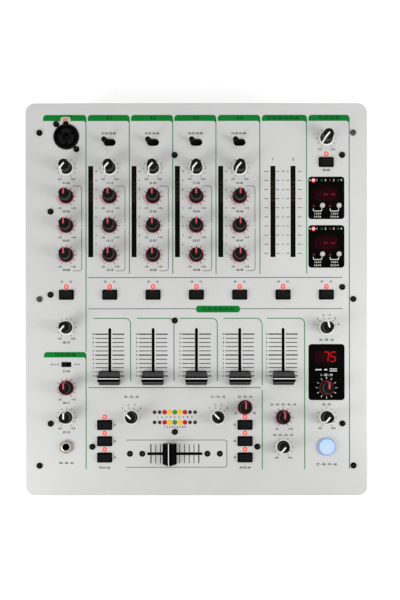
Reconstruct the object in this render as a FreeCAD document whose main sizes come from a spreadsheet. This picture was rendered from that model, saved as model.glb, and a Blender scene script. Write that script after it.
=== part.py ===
"""Four-channel club mixer: face plate with its controls on a tray case.

Units are millimetres. +Z is up, +X is to the right of the person at the mixer and +Y points to the rear.
The origin lies under the middle of the mixer, on the surface that its feet stand on.
"""
import FreeCAD
import Part
import Sketcher
import math
import os

SIZES = {
    # face plate and the grid of controls on it
    "column_pitch": 40.5,
    "side_margin": 38.5,
    "rear_edge_to_trim": 61.0,
    "trim_to_high": 26.5,
    "tone_row_pitch": 27.35,
    "low_to_cue": 37.1,
    "cue_to_fader": 57.05,
    "fader_to_mix": 30.0,
    "lower_row_pitch": 27.5,
    "front_margin": 45.65,
    "plate_thickness": 3.0,
    "plate_corner": 9.0,
    "plate_edge_round": 1.2,
    # places that are measured from the rows of the grid
    "trim_to_toggle": 24.3,
    "trim_to_mic_socket": 29.5,
    "trim_to_surround": 27.7,
    "trim_to_surround_key": 5.6,
    "trim_to_first_window": 27.9,
    "window_pitch": 45.4,
    "mix_to_effects_window": 14.55,
    "fader_to_talk": 26.35,
    "fader_to_mode": 8.15,
    "assign_to_curve": 9.25,
    "phones_to_kill": 5.15,
    "phones_to_crossfader": 6.55,
    "kill_offset": 65.6,
    "kill_pitch": 15.2,
    "lamp_above_key": 7.6,
    "tempo_row_pitch": 9.5,
    "tempo_lamp_pitch": 4.73,
    "meter_offset": 17.7,
    "master_meter_offset": 9.4,
    # case
    "foot_height": 9.0,
    "foot_radius": 11.0,
    "foot_taper": 2.0,
    "foot_inset": 34.0,
    "tray_height": 76.0,
    "tray_wall": 1.5,
    "side_overhang": 2.5,
    "front_overhang": 2.5,
    "rear_overhang": 14.0,
    "case_screw_inset": 13.4,
    "case_screw_end_inset": 28.0,
    "flange_past_screw": 6.0,
    # screws and board
    "screw_head_radius": 2.85,
    "screw_head_height": 1.9,
    "screw_head_edge": 0.5,
    "screw_radius": 1.45,
    "screw_room": 0.1,
    "case_screw_length": 8.0,
    "recess_length": 3.2,
    "recess_width": 0.8,
    "recess_depth": 0.9,
    "board_gap": 12.0,
    "board_thickness": 1.6,
    "board_margin": 5.0,
    "board_screw_inset": 23.7,
    "lower_spacer_offset": 77.0,
    "assign_to_side_spacer": 5.9,
    "assign_to_middle_spacer": 13.7,
    "trim_to_spacer": 12.2,
    "cue_to_spacer": 7.0,
    "fader_to_spacer": 32.9,
    "spacer_radius": 3.0,
    "spigot_radius": 2.2,
    "spigot_room": 0.1,
    "board_screw_length": 10.0,
    "strip_screw_length": 5.5,
    "strip_head_height": 0.6,
    "strip_recess_depth": 0.4,
    "crossfader_screw_inner": 30.4,
    "crossfader_screw_outer": 42.0,
    # knobs and pots
    "knob_height": 16.5,
    "knob_gap": 0.6,
    "skirt_radius": 6.9,
    "skirt_height": 1.8,
    "cap_base_radius": 5.95,
    "cap_top_radius": 4.6,
    "cap_edge": 0.8,
    "pointer_width": 1.3,
    "pointer_height": 0.3,
    "pointer_tail": 2.5,
    "knob_bore_depth": 11.0,
    "knob_fit": 0.05,
    "shaft_radius": 3.0,
    "shaft_room": 0.2,
    "shaft_plate_room": 0.8,
    "pot_width": 10.0,
    "pot_depth": 11.0,
    "pot_height": 6.5,
    "bush_radius": 4.4,
    "bush_gap": 0.5,
    "pot_floor": 1.5,
    # faders
    "fader_travel": 45.0,
    "fader_rest": 1.0,
    "crossfader_rest": 5.5,
    "slot_width": 2.8,
    "slot_end_room": 1.5,
    "lever_width": 4.0,
    "lever_thickness": 1.2,
    "lever_fit": 0.05,
    "lever_in_cap": 6.0,
    "cap_length": 20.5,
    "cap_width": 12.9,
    "cap_height": 11.0,
    "cap_gap": 0.8,
    "cap_shoulder": 4.2,
    "cap_ridge_width": 4.0,
    "cap_ridge_height": 1.6,
    "carriage_width": 4.4,
    "carriage_length": 7.0,
    "carriage_height": 3.0,
    "carriage_room": 0.3,
    "track_width": 9.0,
    "track_height": 9.0,
    "track_floor": 2.0,
    "track_end": 4.0,
    "strip_width": 12.0,
    "strip_thickness": 1.5,
    "strip_past_screw": 4.5,
    # push buttons and their switches
    "key_width": 13.5,
    "key_depth": 8.8,
    "key_rise": 3.0,
    "key_corner": 1.0,
    "key_edge": 0.5,
    "key_room": 0.35,
    "key_lip": 1.0,
    "key_lip_height": 1.0,
    "key_lip_gap": 0.3,
    "stem_radius": 1.7,
    "stem_room": 0.2,
    "stem_entry": 1.2,
    "switch_side": 7.2,
    "switch_height": 5.0,
    "switch_bore_depth": 3.0,
    "effects_key_radius": 8.15,
    "small_key_radius": 2.35,
    "small_key_rise": 0.9,
    "small_key_spread": 7.75,
    "small_key_shift": 4.15,
    "small_key_drop": 7.1,
    # toggles
    "toggle_tilt": 13.0,
    "toggle_pivot_depth": 9.0,
    "toggle_length": 20.0,
    "toggle_root_radius": 1.8,
    "toggle_tip_radius": 2.5,
    "toggle_tip_round": 1.0,
    "toggle_hub_radius": 3.0,
    "toggle_hub_width": 4.0,
    "toggle_hub_room": 0.4,
    "toggle_pin_radius": 1.2,
    "toggle_pin_room": 0.06,
    "toggle_cheek": 2.2,
    "toggle_body_length": 13.0,
    "toggle_slot_length": 11.4,
    "toggle_slot_width": 7.0,
    # monitor mode slide switch
    "mode_slot_length": 9.2,
    "mode_slot_width": 4.7,
    "mode_room": 0.4,
    "mode_travel": 4.0,
    "mode_rise": 1.2,
    "mode_shoe_height": 1.0,
    "mode_foot_length": 3.0,
    "mode_foot_width": 2.4,
    "mode_foot_depth": 2.5,
    "mode_body_length": 16.0,
    "mode_body_width": 9.0,
    # windows, meters and lamps
    "window_width": 33.5,
    "beat_window_height": 39.5,
    "effects_window_height": 52.2,
    "window_corner": 3.0,
    "window_room": 0.15,
    "module_side_margin": 1.5,
    "module_height": 18.0,
    "module_top_margin": 1.5,
    "meter_width": 4.4,
    "meter_length": 85.0,
    "lamp_radius": 1.6,
    "lamp_rise": 0.8,
    "lamp_room": 0.15,
    # sockets on the face plate
    "mic_radius": 11.9,
    "mic_rise": 1.2,
    "mic_rim": 1.4,
    "mic_face_drop": 1.0,
    "mic_depth": 26.0,
    "mic_flange_width": 26.0,
    "mic_flange_height": 31.0,
    "mic_flange_thickness": 2.5,
    "mic_screw_across": 9.4,
    "mic_screw_along": 11.7,
    "mic_pin_hole_radius": 1.5,
    "mic_pin_circle": 6.6,
    "mic_pin_hole_depth": 12.0,
    "latch_width": 9.2,
    "latch_length": 4.7,
    "latch_thickness": 1.0,
    "jack_bore_radius": 3.25,
    "jack_bore_depth": 24.0,
    "jack_bush_radius": 4.5,
    "jack_rise": 3.2,
    "nut_across_flats": 11.5,
    "nut_height": 2.2,
    "jack_body_side": 14.0,
    "socket_room": 0.25,
    # sockets and switch on the rear wall
    "phono_pitch": 15.0,
    "phono_row_pitch": 16.0,
    "phono_row_height": 30.0,
    "phono_start": 70.0,
    "phono_flange_radius": 5.6,
    "phono_flange_thickness": 1.5,
    "phono_radius": 4.15,
    "phono_length": 9.0,
    "phono_bore_radius": 1.7,
    "phono_bore_depth": 8.0,
    "phono_tail": 6.0,
    "line_jack_pitch": 22.0,
    "line_jack_start": 255.0,
    "line_jack_radius": 6.5,
    "line_jack_rise": 3.0,
    "inlet_start": 34.0,
    "inlet_height": 26.0,
    "inlet_flange_width": 32.0,
    "inlet_flange_height": 26.0,
    "inlet_flange_thickness": 2.0,
    "inlet_width": 27.0,
    "inlet_body_height": 20.0,
    "inlet_depth": 18.0,
    "inlet_shell": 1.6,
    "inlet_cavity_depth": 16.0,
    "inlet_pin_width": 2.0,
    "inlet_pin_height": 4.0,
    "inlet_pin_length": 9.0,
    "inlet_pin_spread": 7.0,
    "inlet_earth_rise": 4.0,
    "rocker_rise": 24.0,
    "rocker_tilt": 9.0,
    "rocker_width": 17.0,
    "rocker_half_height": 5.3,
    "rocker_nose": 2.2,
    "rocker_dip": 1.0,
    "rocker_keel": 3.0,
    "rocker_keel_half": 2.4,
    "rocker_pin_radius": 1.0,
    "rocker_pin_room": 0.06,
    "rocker_pin_length": 1.4,
    "rocker_room": 0.6,
    "rocker_frame_wall": 2.0,
    "rocker_frame_depth": 8.0,
    "rocker_bezel": 1.5,
    "post_radius": 3.0,
    "post_length": 8.0,
    # power supply
    "supply_from_side": 70.0,
    "supply_from_rear": 70.0,
    "core_width": 56.0,
    "core_depth": 46.0,
    "core_height": 38.0,
    "coil_overhang": 6.0,
    "coil_inset": 9.0,
    "supply_board_width": 84.0,
    "supply_board_depth": 60.0,
    "supply_board_lift": 6.0,
    "supply_gap": 14.0,
    "supply_post_radius": 3.0,
    "supply_post_inset": 6.0,
    "can_radius": 8.0,
    "can_height": 28.0,
    "can_pitch": 20.0,
    "sink_width": 50.0,
    "sink_depth": 8.0,
    "sink_height": 24.0,
}

DOC = FreeCAD.newDocument("mixer")
SHEET = DOC.addObject("Spreadsheet::Sheet", "Sizes")


class Size:
    """A length with its formula in the sheet's cells and its present value."""

    def __init__(self, text, value):
        self.text = text
        self.value = float(value)

    @staticmethod
    def of(other):
        return other if isinstance(other, Size) else Size(repr(float(other)), other)

    def __add__(self, other):
        other = Size.of(other)
        return Size(f"({self.text} + {other.text})", self.value + other.value)

    def __sub__(self, other):
        other = Size.of(other)
        return Size(f"({self.text} - {other.text})", self.value - other.value)

    def __mul__(self, factor):
        return Size(f"{self.text} * {float(factor)!r}", self.value * factor)

    def __truediv__(self, factor):
        return Size(f"{self.text} / {float(factor)!r}", self.value / factor)

    def __neg__(self):
        return self * -1

    def __radd__(self, other):
        return Size.of(other) + self

    def __rsub__(self, other):
        return Size.of(other) - self

    __rmul__ = __mul__


class Sheet:
    """Reads a driving dimension by its name, such as S.foot_height."""

    def __getattr__(self, name):
        return Size(f"Sizes.{name}", SIZES[name])


S = Sheet()
ZERO = Size.of(0)
NODES = []


def fill_sheet():
    """Write each driving dimension into its own named cell."""
    for row, (name, value) in enumerate(SIZES.items(), 1):
        SHEET.set(f"A{row}", name)
        SHEET.set(f"B{row}", str(value))
        SHEET.setAlias(f"B{row}", name)
    DOC.recompute()


def bind(item, **sizes):
    """Bind properties of an object to sizes of the sheet."""
    for name, size in sizes.items():
        item.setExpression(name, Size.of(size).text)
    return item


def place(item, x=0, y=0, z=0):
    """Bind the place of an object."""
    for axis, size in zip("xyz", (x, y, z)):
        item.setExpression(f"Placement.Base.{axis}", Size.of(size).text)
    return item


def turn(item, angle, axis):
    """Turn an object about an axis through its own place."""
    item.Placement.Rotation = FreeCAD.Rotation(FreeCAD.Vector(*axis), angle)
    return item


def add(kind, name):
    return DOC.addObject(kind, name)


def block(name, width, depth, height, x=0, y=0, z=0):
    """A box centred on x and y that stands on z."""
    item = bind(add("Part::Box", name), Length=width, Width=depth, Height=height)
    return place(item, Size.of(x) - Size.of(width) / 2, Size.of(y) - Size.of(depth) / 2, z)


def rod(name, radius, height, x=0, y=0, z=0):
    """An upright cylinder that stands on z."""
    item = bind(add("Part::Cylinder", name), Radius=radius, Height=height)
    return place(item, x, y, z)


def cross_rod(name, radius, length, axis, x=0, y=0, z=0):
    """A cylinder along X or Y, centred on its place."""
    item = bind(add("Part::Cylinder", name), Radius=radius, Height=length)
    half = Size.of(length) / 2
    if axis == "X":
        turn(item, 90, (0, 1, 0))
        return place(item, Size.of(x) - half, y, z)
    turn(item, -90, (1, 0, 0))
    return place(item, x, Size.of(y) - half, z)


def fuse(name, *items):
    joined = add("Part::MultiFuse", name)
    joined.Shapes = list(items)
    joined.Refine = True
    return joined


def cut(name, base, *tools):
    """Take tools that stand clear of each other out of a base."""
    tool = tools[0] if len(tools) == 1 else group(f"{name}_tools", *tools)
    taken = add("Part::Cut", name)
    taken.Base = base
    taken.Tool = tool
    return taken


def group(name, *items):
    gathered = add("Part::Compound", name)
    gathered.Links = list(items)
    return gathered


def copies(name, pattern, spots):
    """One copy of a pattern at each (x, y, z)."""
    return [place(group(f"{name}_{k}", pattern), *spot) for k, spot in enumerate(spots, 1)]


def node(label, item):
    """Name a finished sub-part for its file."""
    item.Label = label
    NODES.append(item)
    return item


def own_plane(body, role):
    return next(plane for plane in body.Origin.OriginFeatures if plane.Role == role)


def outline(body, role, points):
    """A closed sketch of straight sides whose corners are bound to the sheet."""
    sketch = body.newObject("Sketcher::SketchObject", f"{body.Name}_outline")
    sketch.AttachmentSupport = (own_plane(body, role), [""])
    sketch.MapMode = "FlatFace"
    points = [(Size.of(across), Size.of(up)) for across, up in points]
    corners = [FreeCAD.Vector(across.value, up.value, 0) for across, up in points]
    count = len(corners)
    for k in range(count):
        sketch.addGeometry(Part.LineSegment(corners[k], corners[(k + 1) % count]), False)
    for k in range(count):
        sketch.addConstraint(Sketcher.Constraint("Coincident", k, 2, (k + 1) % count, 1))
    for k, (across, up) in enumerate(points):
        for kind, size in (("DistanceX", across), ("DistanceY", up)):
            number = sketch.addConstraint(Sketcher.Constraint(kind, -1, 1, k, 1, size.value))
            sketch.setExpression(f"Constraints[{number}]", size.text)
    return sketch


def turned(name, points):
    """A body turned about Z from (radius, height) points."""
    body = add("PartDesign::Body", name)
    sketch = outline(body, "XZ_Plane", points)
    turning = body.newObject("PartDesign::Revolution", f"{name}_turning")
    turning.Profile = sketch
    turning.ReferenceAxis = (sketch, ["V_Axis"])
    turning.Angle = 360
    return body


def extruded(name, role, points, length):
    """A body of one section, carried evenly to both sides of its plane."""
    body = add("PartDesign::Body", name)
    pad = body.newObject("PartDesign::Pad", f"{name}_pad")
    pad.Profile = outline(body, role, points)
    pad.SideType = "Symmetric"
    bind(pad, Length=length)
    return body


def rounded_block(name, width, depth, height, corner, edge=None):
    """A block on the XY plane with round upright corners and, if asked, a round top edge."""
    body = add("PartDesign::Body", name)
    half_width, half_depth = Size.of(width) / 2, Size.of(depth) / 2
    corners = [(-half_width, -half_depth), (half_width, -half_depth),
               (half_width, half_depth), (-half_width, half_depth)]
    pad = body.newObject("PartDesign::Pad", f"{name}_pad")
    pad.Profile = outline(body, "XY_Plane", corners)
    bind(pad, Length=height)
    DOC.recompute()
    upright = [f"Edge{k}" for k, side in enumerate(pad.Shape.Edges, 1)
               if abs(side.tangentAt(side.FirstParameter).z) > 0.99]
    rounding = body.newObject("PartDesign::Fillet", f"{name}_corners")
    rounding.Base = (pad, upright)
    bind(rounding, Radius=corner)
    if edge is not None:
        DOC.recompute()
        top = rounding.Shape.BoundBox.ZMax
        rim = [f"Edge{k}" for k, side in enumerate(rounding.Shape.Edges, 1)
               if side.BoundBox.ZMin > top - 0.001]
        softening = body.newObject("PartDesign::Fillet", f"{name}_edge")
        softening.Base = (rounding, rim)
        bind(softening, Radius=edge)
    return body


def obround(name, length, width, height, z):
    """A cutter with round ends, its length along X."""
    straight = Size.of(length) - width
    radius = Size.of(width) / 2
    ends = [rod(f"{name}_end_{k}", radius, height, straight * half, 0, z)
            for k, half in enumerate((-0.5, 0.5))]
    return fuse(name, block(f"{name}_middle", straight, width, height, 0, 0, z), *ends)


# Heights, from the surface that the mixer stands on
TRAY_TOP = S.foot_height + S.tray_height
PLATE_TOP = TRAY_TOP + S.plate_thickness
BOARD_TOP = TRAY_TOP - S.board_gap
BOARD_UNDER = BOARD_TOP - S.board_thickness
FLOOR_TOP = S.foot_height + S.tray_wall
CUT_PAST = 1.0

# Columns and rows of the control grid
PLATE_WIDTH = S.column_pitch * 6 + S.side_margin * 2
PLATE_DEPTH = (S.rear_edge_to_trim + S.trim_to_high + S.tone_row_pitch * 2 + S.low_to_cue + S.cue_to_fader
               + S.fader_to_mix + S.lower_row_pitch * 2 + S.front_margin)
COLUMNS = [S.column_pitch * (k - 3) for k in range(7)]
MIC_COLUMN, MASTER_COLUMN, EFFECTS_COLUMN = COLUMNS[0], COLUMNS[5], COLUMNS[6]
CHANNEL_COLUMNS = COLUMNS[1:5]
TRIM_ROW = PLATE_DEPTH / 2 - S.rear_edge_to_trim
HIGH_ROW = TRIM_ROW - S.trim_to_high
MID_ROW = HIGH_ROW - S.tone_row_pitch
LOW_ROW = MID_ROW - S.tone_row_pitch
CUE_ROW = LOW_ROW - S.low_to_cue
FADER_ROW = CUE_ROW - S.cue_to_fader
FADER_REST_ROW = FADER_ROW - S.fader_travel / 2 + S.fader_rest
MIX_ROW = FADER_ROW - S.fader_to_mix
ASSIGN_ROW = MIX_ROW - S.lower_row_pitch
PHONES_ROW = ASSIGN_ROW - S.lower_row_pitch
METER_ROW = (TRIM_ROW + LOW_ROW) / 2
TALK_ROW = FADER_ROW + S.fader_to_talk
MODE_ROW = FADER_ROW - S.fader_to_mode
CROSSFADER_ROW = PHONES_ROW - S.phones_to_crossfader
CROSSFADER_X = S.column_pitch * -0.5
KILL_COLUMNS = [CROSSFADER_X - S.kill_offset, CROSSFADER_X + S.kill_offset]
WINDOW_ROWS = [TRIM_ROW - S.trim_to_first_window, TRIM_ROW - S.trim_to_first_window - S.window_pitch]
EFFECTS_WINDOW_ROW = MIX_ROW + S.mix_to_effects_window
MIC_ROW = TRIM_ROW + S.trim_to_mic_socket

# Walls of the tray
TRAY_WIDTH = PLATE_WIDTH - S.side_overhang * 2
TRAY_FRONT = S.front_overhang - PLATE_DEPTH / 2
TRAY_REAR = PLATE_DEPTH / 2 - S.rear_overhang
TRAY_MIDDLE = (TRAY_FRONT + TRAY_REAR) / 2
TRAY_DEPTH = TRAY_REAR - TRAY_FRONT

# Pointer angles at rest, clockwise from twelve o'clock
AT_MINIMUM = -140
AT_CENTRE = 0
AT_FIRST_STOP = -45
AT_THIRD_STOP = -15


def knob_spots():
    """Name, place and pointer angle of every knob."""
    spots = []
    for name, column in zip(("mic", "channel_1", "channel_2", "channel_3", "channel_4"), COLUMNS):
        spots += [(f"{name}_trim_knob", column, TRIM_ROW, AT_MINIMUM),
                  (f"{name}_high_knob", column, HIGH_ROW, AT_CENTRE),
                  (f"{name}_mid_knob", column, MID_ROW, AT_CENTRE),
                  (f"{name}_low_knob", column, LOW_ROW, AT_CENTRE)]
    spots += [("surround_knob", EFFECTS_COLUMN, TRIM_ROW + S.trim_to_surround, AT_MINIMUM),
              ("talk_knob", MIC_COLUMN, TALK_ROW, AT_MINIMUM),
              ("monitor_mix_knob", MIC_COLUMN, MIX_ROW, AT_CENTRE),
              ("monitor_level_knob", MIC_COLUMN, ASSIGN_ROW, AT_CENTRE),
              ("assign_a_knob", CROSSFADER_X - S.column_pitch, ASSIGN_ROW, AT_FIRST_STOP),
              ("assign_b_knob", CROSSFADER_X + S.column_pitch, ASSIGN_ROW, AT_FIRST_STOP),
              ("curve_knob", KILL_COLUMNS[1], ASSIGN_ROW + S.assign_to_curve, AT_CENTRE),
              ("balance_knob", MASTER_COLUMN, ASSIGN_ROW, AT_CENTRE),
              ("booth_knob", MASTER_COLUMN, PHONES_ROW, AT_MINIMUM),
              ("source_knob", EFFECTS_COLUMN, TALK_ROW, AT_THIRD_STOP),
              ("program_knob", EFFECTS_COLUMN, MIX_ROW, AT_CENTRE),
              ("effects_level_knob", EFFECTS_COLUMN, ASSIGN_ROW, AT_MINIMUM)]
    return spots


KNOBS = knob_spots()
CUE_KEYS = [(column, CUE_ROW) for column in COLUMNS]
CUE_KEYS.append((EFFECTS_COLUMN, TRIM_ROW + S.trim_to_surround_key))
KILL_KEYS = [(column, PHONES_ROW + S.phones_to_kill + S.kill_pitch * step)
             for column in KILL_COLUMNS for step in (1, 0, -1)]
SMALL_KEYS = [(EFFECTS_COLUMN + S.small_key_shift + S.small_key_spread * side, row - S.small_key_drop)
              for row in WINDOW_ROWS for side in (-1, 1)]
TOGGLES = [(column, TRIM_ROW + S.trim_to_toggle) for column in CHANNEL_COLUMNS]
METERS = [(column - S.meter_offset, METER_ROW) for column in CHANNEL_COLUMNS]
METERS += [(MASTER_COLUMN + S.master_meter_offset * side, METER_ROW) for side in (-1, 1)]
RED_LAMPS = [(x, y + S.lamp_above_key) for x, y in CUE_KEYS + KILL_KEYS]
TEMPO_LAMPS = [(CROSSFADER_X + S.tempo_lamp_pitch * step, ASSIGN_ROW + S.tempo_row_pitch * half)
               for half in (0.5, -0.5) for step in range(-4, 5)]
FADER_COLUMNS = COLUMNS[1:6]
CASE_SCREW_X = PLATE_WIDTH / 2 - S.case_screw_inset
CASE_SCREW_Y = PLATE_DEPTH / 2 - S.case_screw_end_inset
CASE_SCREWS = [(CASE_SCREW_X * side, CASE_SCREW_Y * end) for side in (-1, 1) for end in (1, 0, -1)]
BOARD_SIDE = PLATE_WIDTH / 2 - S.board_screw_inset
SIDE_SPACER_ROW = ASSIGN_ROW - S.assign_to_side_spacer
REAR_SPACER_ROW = TRIM_ROW + S.trim_to_spacer
BOARD_SCREWS = [(-BOARD_SIDE, METER_ROW), (-BOARD_SIDE, CUE_ROW), (-BOARD_SIDE, SIDE_SPACER_ROW),
                (BOARD_SIDE, REAR_SPACER_ROW), (BOARD_SIDE, CUE_ROW + S.cue_to_spacer),
                (BOARD_SIDE, SIDE_SPACER_ROW), (CROSSFADER_X, REAR_SPACER_ROW),
                (CROSSFADER_X, FADER_ROW + S.fader_to_spacer),
                (CROSSFADER_X, ASSIGN_ROW - S.assign_to_middle_spacer),
                (CROSSFADER_X - S.lower_spacer_offset, PHONES_ROW),
                (CROSSFADER_X + S.lower_spacer_offset, PHONES_ROW)]
CROSSFADER_SCREWS = [(CROSSFADER_X + reach * side, CROSSFADER_ROW)
                     for reach in (S.crossfader_screw_inner, S.crossfader_screw_outer) for side in (-1, 1)]
MIC_SCREWS = [(MIC_COLUMN + S.mic_screw_across * side, MIC_ROW - S.mic_screw_along * side)
              for side in (-1, 1)]
SLOT_LENGTH = S.fader_travel + S.lever_width + S.slot_end_room * 2


def at(spots, z):
    return [(x, y, z) for x, y in spots]


def make_face_plate():
    """Flat plate with round corners and every cut-out for what comes through it."""
    below = TRAY_TOP - CUT_PAST
    through = S.plate_thickness + CUT_PAST * 2
    plate = place(rounded_block("plate_blank", PLATE_WIDTH, PLATE_DEPTH, S.plate_thickness,
                                S.plate_corner, S.plate_edge_round), 0, 0, TRAY_TOP)
    shaft_hole = rod("shaft_hole", S.shaft_radius + S.shaft_plate_room, through)
    lamp_hole = rod("lamp_hole", S.lamp_radius + S.lamp_room, through)
    screw_hole = rod("screw_hole", S.screw_radius + S.screw_room, through)
    key_hole = rounded_block("key_hole", S.key_width + S.key_room * 2, S.key_depth + S.key_room * 2,
                             through, S.key_corner)
    effects_hole = rod("effects_hole", S.effects_key_radius + S.key_room, through)
    toggle_hole = obround("toggle_hole", S.toggle_slot_length, S.toggle_slot_width, through, 0)
    fader_hole = obround("fader_hole", SLOT_LENGTH, S.slot_width, through, 0)
    mode_hole = block("mode_hole", S.mode_slot_length, S.mode_slot_width, through)
    room = S.window_room * 2
    meter_hole = block("meter_hole", S.meter_width + room, S.meter_length + room, through)
    beat_hole = rounded_block("beat_hole", S.window_width + room, S.beat_window_height + room, through,
                              S.window_corner)
    effects_window_hole = rounded_block("effects_window_hole", S.window_width + room,
                                        S.effects_window_height + room, through, S.window_corner)
    mic_hole = rod("mic_hole", S.mic_radius + S.socket_room, through)
    phones_hole = rod("phones_hole", S.jack_bush_radius + S.socket_room, through)
    shafts = [(x, y) for name, x, y, angle in KNOBS if name != "program_knob"]
    screws = CASE_SCREWS + BOARD_SCREWS + CROSSFADER_SCREWS + MIC_SCREWS
    holes = []
    for name, tool, spots in (
            ("shaft", shaft_hole, shafts), ("lamp", lamp_hole, RED_LAMPS + TEMPO_LAMPS),
            ("screw", screw_hole, screws), ("key", key_hole, CUE_KEYS + KILL_KEYS),
            ("effects", effects_hole, [(EFFECTS_COLUMN, PHONES_ROW)]), ("toggle", toggle_hole, TOGGLES),
            ("mode", mode_hole, [(MIC_COLUMN, MODE_ROW)]), ("meter", meter_hole, METERS),
            ("beat", beat_hole, [(EFFECTS_COLUMN, row) for row in WINDOW_ROWS]),
            ("effects_window", effects_window_hole, [(EFFECTS_COLUMN, EFFECTS_WINDOW_ROW)]),
            ("mic", mic_hole, [(MIC_COLUMN, MIC_ROW)]), ("phones", phones_hole, [(MIC_COLUMN, PHONES_ROW)]),
            ("crossfader", fader_hole, [(CROSSFADER_X, CROSSFADER_ROW)])):
        holes += copies(f"plate_{name}", tool, at(spots, below))
    for column in FADER_COLUMNS:
        holes.append(place(turn(group("plate_fader", fader_hole), 90, (0, 0, 1)), column, FADER_ROW, below))
    node("face_plate", cut("face_plate", plate, *holes))


def make_tray():
    """Folded tray: floor, four walls and two top flanges that take the case screws."""
    body = block("tray_blank", TRAY_WIDTH, TRAY_DEPTH, S.tray_height, 0, TRAY_MIDDLE, S.foot_height)
    inner_depth = TRAY_DEPTH - S.tray_wall * 2
    inside = block("tray_inside", TRAY_WIDTH - S.tray_wall * 2, inner_depth,
                   S.tray_height - S.tray_wall * 2, 0, TRAY_MIDDLE, FLOOR_TOP)
    flange_edge = PLATE_WIDTH / 2 - S.case_screw_inset - S.flange_past_screw
    mouth = block("tray_mouth", flange_edge * 2, inner_depth, S.tray_height, 0, TRAY_MIDDLE, FLOOR_TOP)
    hollow = cut("tray_shell", body, fuse("tray_hollow", inside, mouth))
    screw_hole = rod("flange_hole", S.screw_radius + S.screw_room, S.tray_wall + CUT_PAST * 2)
    tools = copies("flange_hole", screw_hole, at(CASE_SCREWS, TRAY_TOP - S.tray_wall - CUT_PAST))
    wall = S.tray_wall + CUT_PAST * 2
    middle = TRAY_REAR - S.tray_wall / 2
    for radius, spots in ((S.phono_radius, phono_spots()), (S.jack_bush_radius, line_jack_spots()),
                          (S.post_radius, [post_spot()])):
        tools += [cross_rod("rear_hole", radius + S.socket_room, wall, "Y", x, middle, z) for x, z in spots]
    inlet_x, inlet_z = inlet_spot()
    tools.append(block("inlet_hole", S.inlet_width + S.socket_room * 2, wall,
                       S.inlet_body_height + S.socket_room * 2, inlet_x, middle,
                       inlet_z - S.inlet_body_height / 2 - S.socket_room))
    rocker_x, rocker_z = rocker_spot()
    frame_height = rocker_frame_height()
    tools.append(block("rocker_hole", rocker_frame_width() + S.socket_room * 2, wall,
                       frame_height + S.socket_room * 2, rocker_x, middle,
                       rocker_z - frame_height / 2 - S.socket_room))
    node("chassis_tray", cut("chassis_tray", hollow, *tools))


def make_feet():
    """Four tapered rubber feet under the floor of the tray."""
    foot = turned("foot", [(0, 0), (S.foot_radius - S.foot_taper, 0), (S.foot_radius, S.foot_height),
                           (0, S.foot_height)])
    foot_x = PLATE_WIDTH / 2 - S.foot_inset
    foot_y = TRAY_DEPTH / 2 - S.foot_inset
    spots = [(foot_x * side, TRAY_MIDDLE + foot_y * end, ZERO) for side in (-1, 1) for end in (-1, 1)]
    node("rubber_feet", group("rubber_feet", *copies("foot", foot, spots)))


def screw(name, length, height, depth):
    """Pan head screw with a cross recess of a given depth, its head seated on z = 0."""
    radius = S.screw_head_radius
    head = turned(f"{name}_head", [(0, -length), (S.screw_radius, -length), (S.screw_radius, 0),
                                   (radius, 0), (radius, height - S.screw_head_edge),
                                   (radius - S.screw_head_edge, height), (0, height)])
    floor = height - depth
    recess = fuse(f"{name}_recess",
                  block(f"{name}_bar_1", S.recess_length, S.recess_width, depth * 2, 0, 0, floor),
                  block(f"{name}_bar_2", S.recess_width, S.recess_length, depth * 2, 0, 0, floor))
    return cut(name, head, recess)


def make_screws():
    """Case screws, longer board screws and the four flat screws that the crossfader's cap passes over."""
    short = screw("short_screw", S.case_screw_length, S.screw_head_height, S.recess_depth)
    long = screw("long_screw", S.board_screw_length, S.screw_head_height, S.recess_depth)
    strip = screw("strip_screw", S.strip_screw_length, S.strip_head_height, S.strip_recess_depth)
    screws = copies("short_screw", short, at(CASE_SCREWS + MIC_SCREWS, PLATE_TOP))
    screws += copies("strip_screw", strip, at(CROSSFADER_SCREWS, PLATE_TOP))
    screws += copies("long_screw", long, at(BOARD_SCREWS, PLATE_TOP))
    node("panel_screws", group("panel_screws", *screws))


def make_board():
    """Control board under the plate, its spacers and the cut-outs for the two deep sockets."""
    width = TRAY_WIDTH - (S.tray_wall + S.board_margin) * 2
    depth = TRAY_DEPTH - (S.tray_wall + S.board_margin) * 2
    through = S.board_thickness + CUT_PAST * 2
    below = BOARD_UNDER - CUT_PAST
    blank = block("board_blank", width, depth, S.board_thickness, 0, TRAY_MIDDLE, BOARD_UNDER)
    spigot_hole = rod("spigot_hole", S.spigot_radius + S.spigot_room, through)
    tools = copies("spigot_hole", spigot_hole, at(BOARD_SCREWS, below))
    tools.append(rod("mic_board_hole", S.mic_radius + CUT_PAST, through, MIC_COLUMN, MIC_ROW, below))
    side = S.jack_body_side + CUT_PAST * 2
    tools.append(block("phones_board_hole", side, side, through, MIC_COLUMN, PHONES_ROW, below))
    node("control_board", cut("control_board", blank, *tools))
    spacer = turned("spacer", [(0, -S.board_thickness), (S.spigot_radius, -S.board_thickness),
                               (S.spigot_radius, 0), (S.spacer_radius, 0), (S.spacer_radius, S.board_gap),
                               (S.screw_radius + S.screw_room, S.board_gap),
                               (S.screw_radius + S.screw_room, S.board_gap - S.board_screw_length),
                               (0, S.board_gap - S.board_screw_length)])
    node("board_spacers", group("board_spacers", *copies("spacer", spacer, at(BOARD_SCREWS, BOARD_TOP))))


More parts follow.
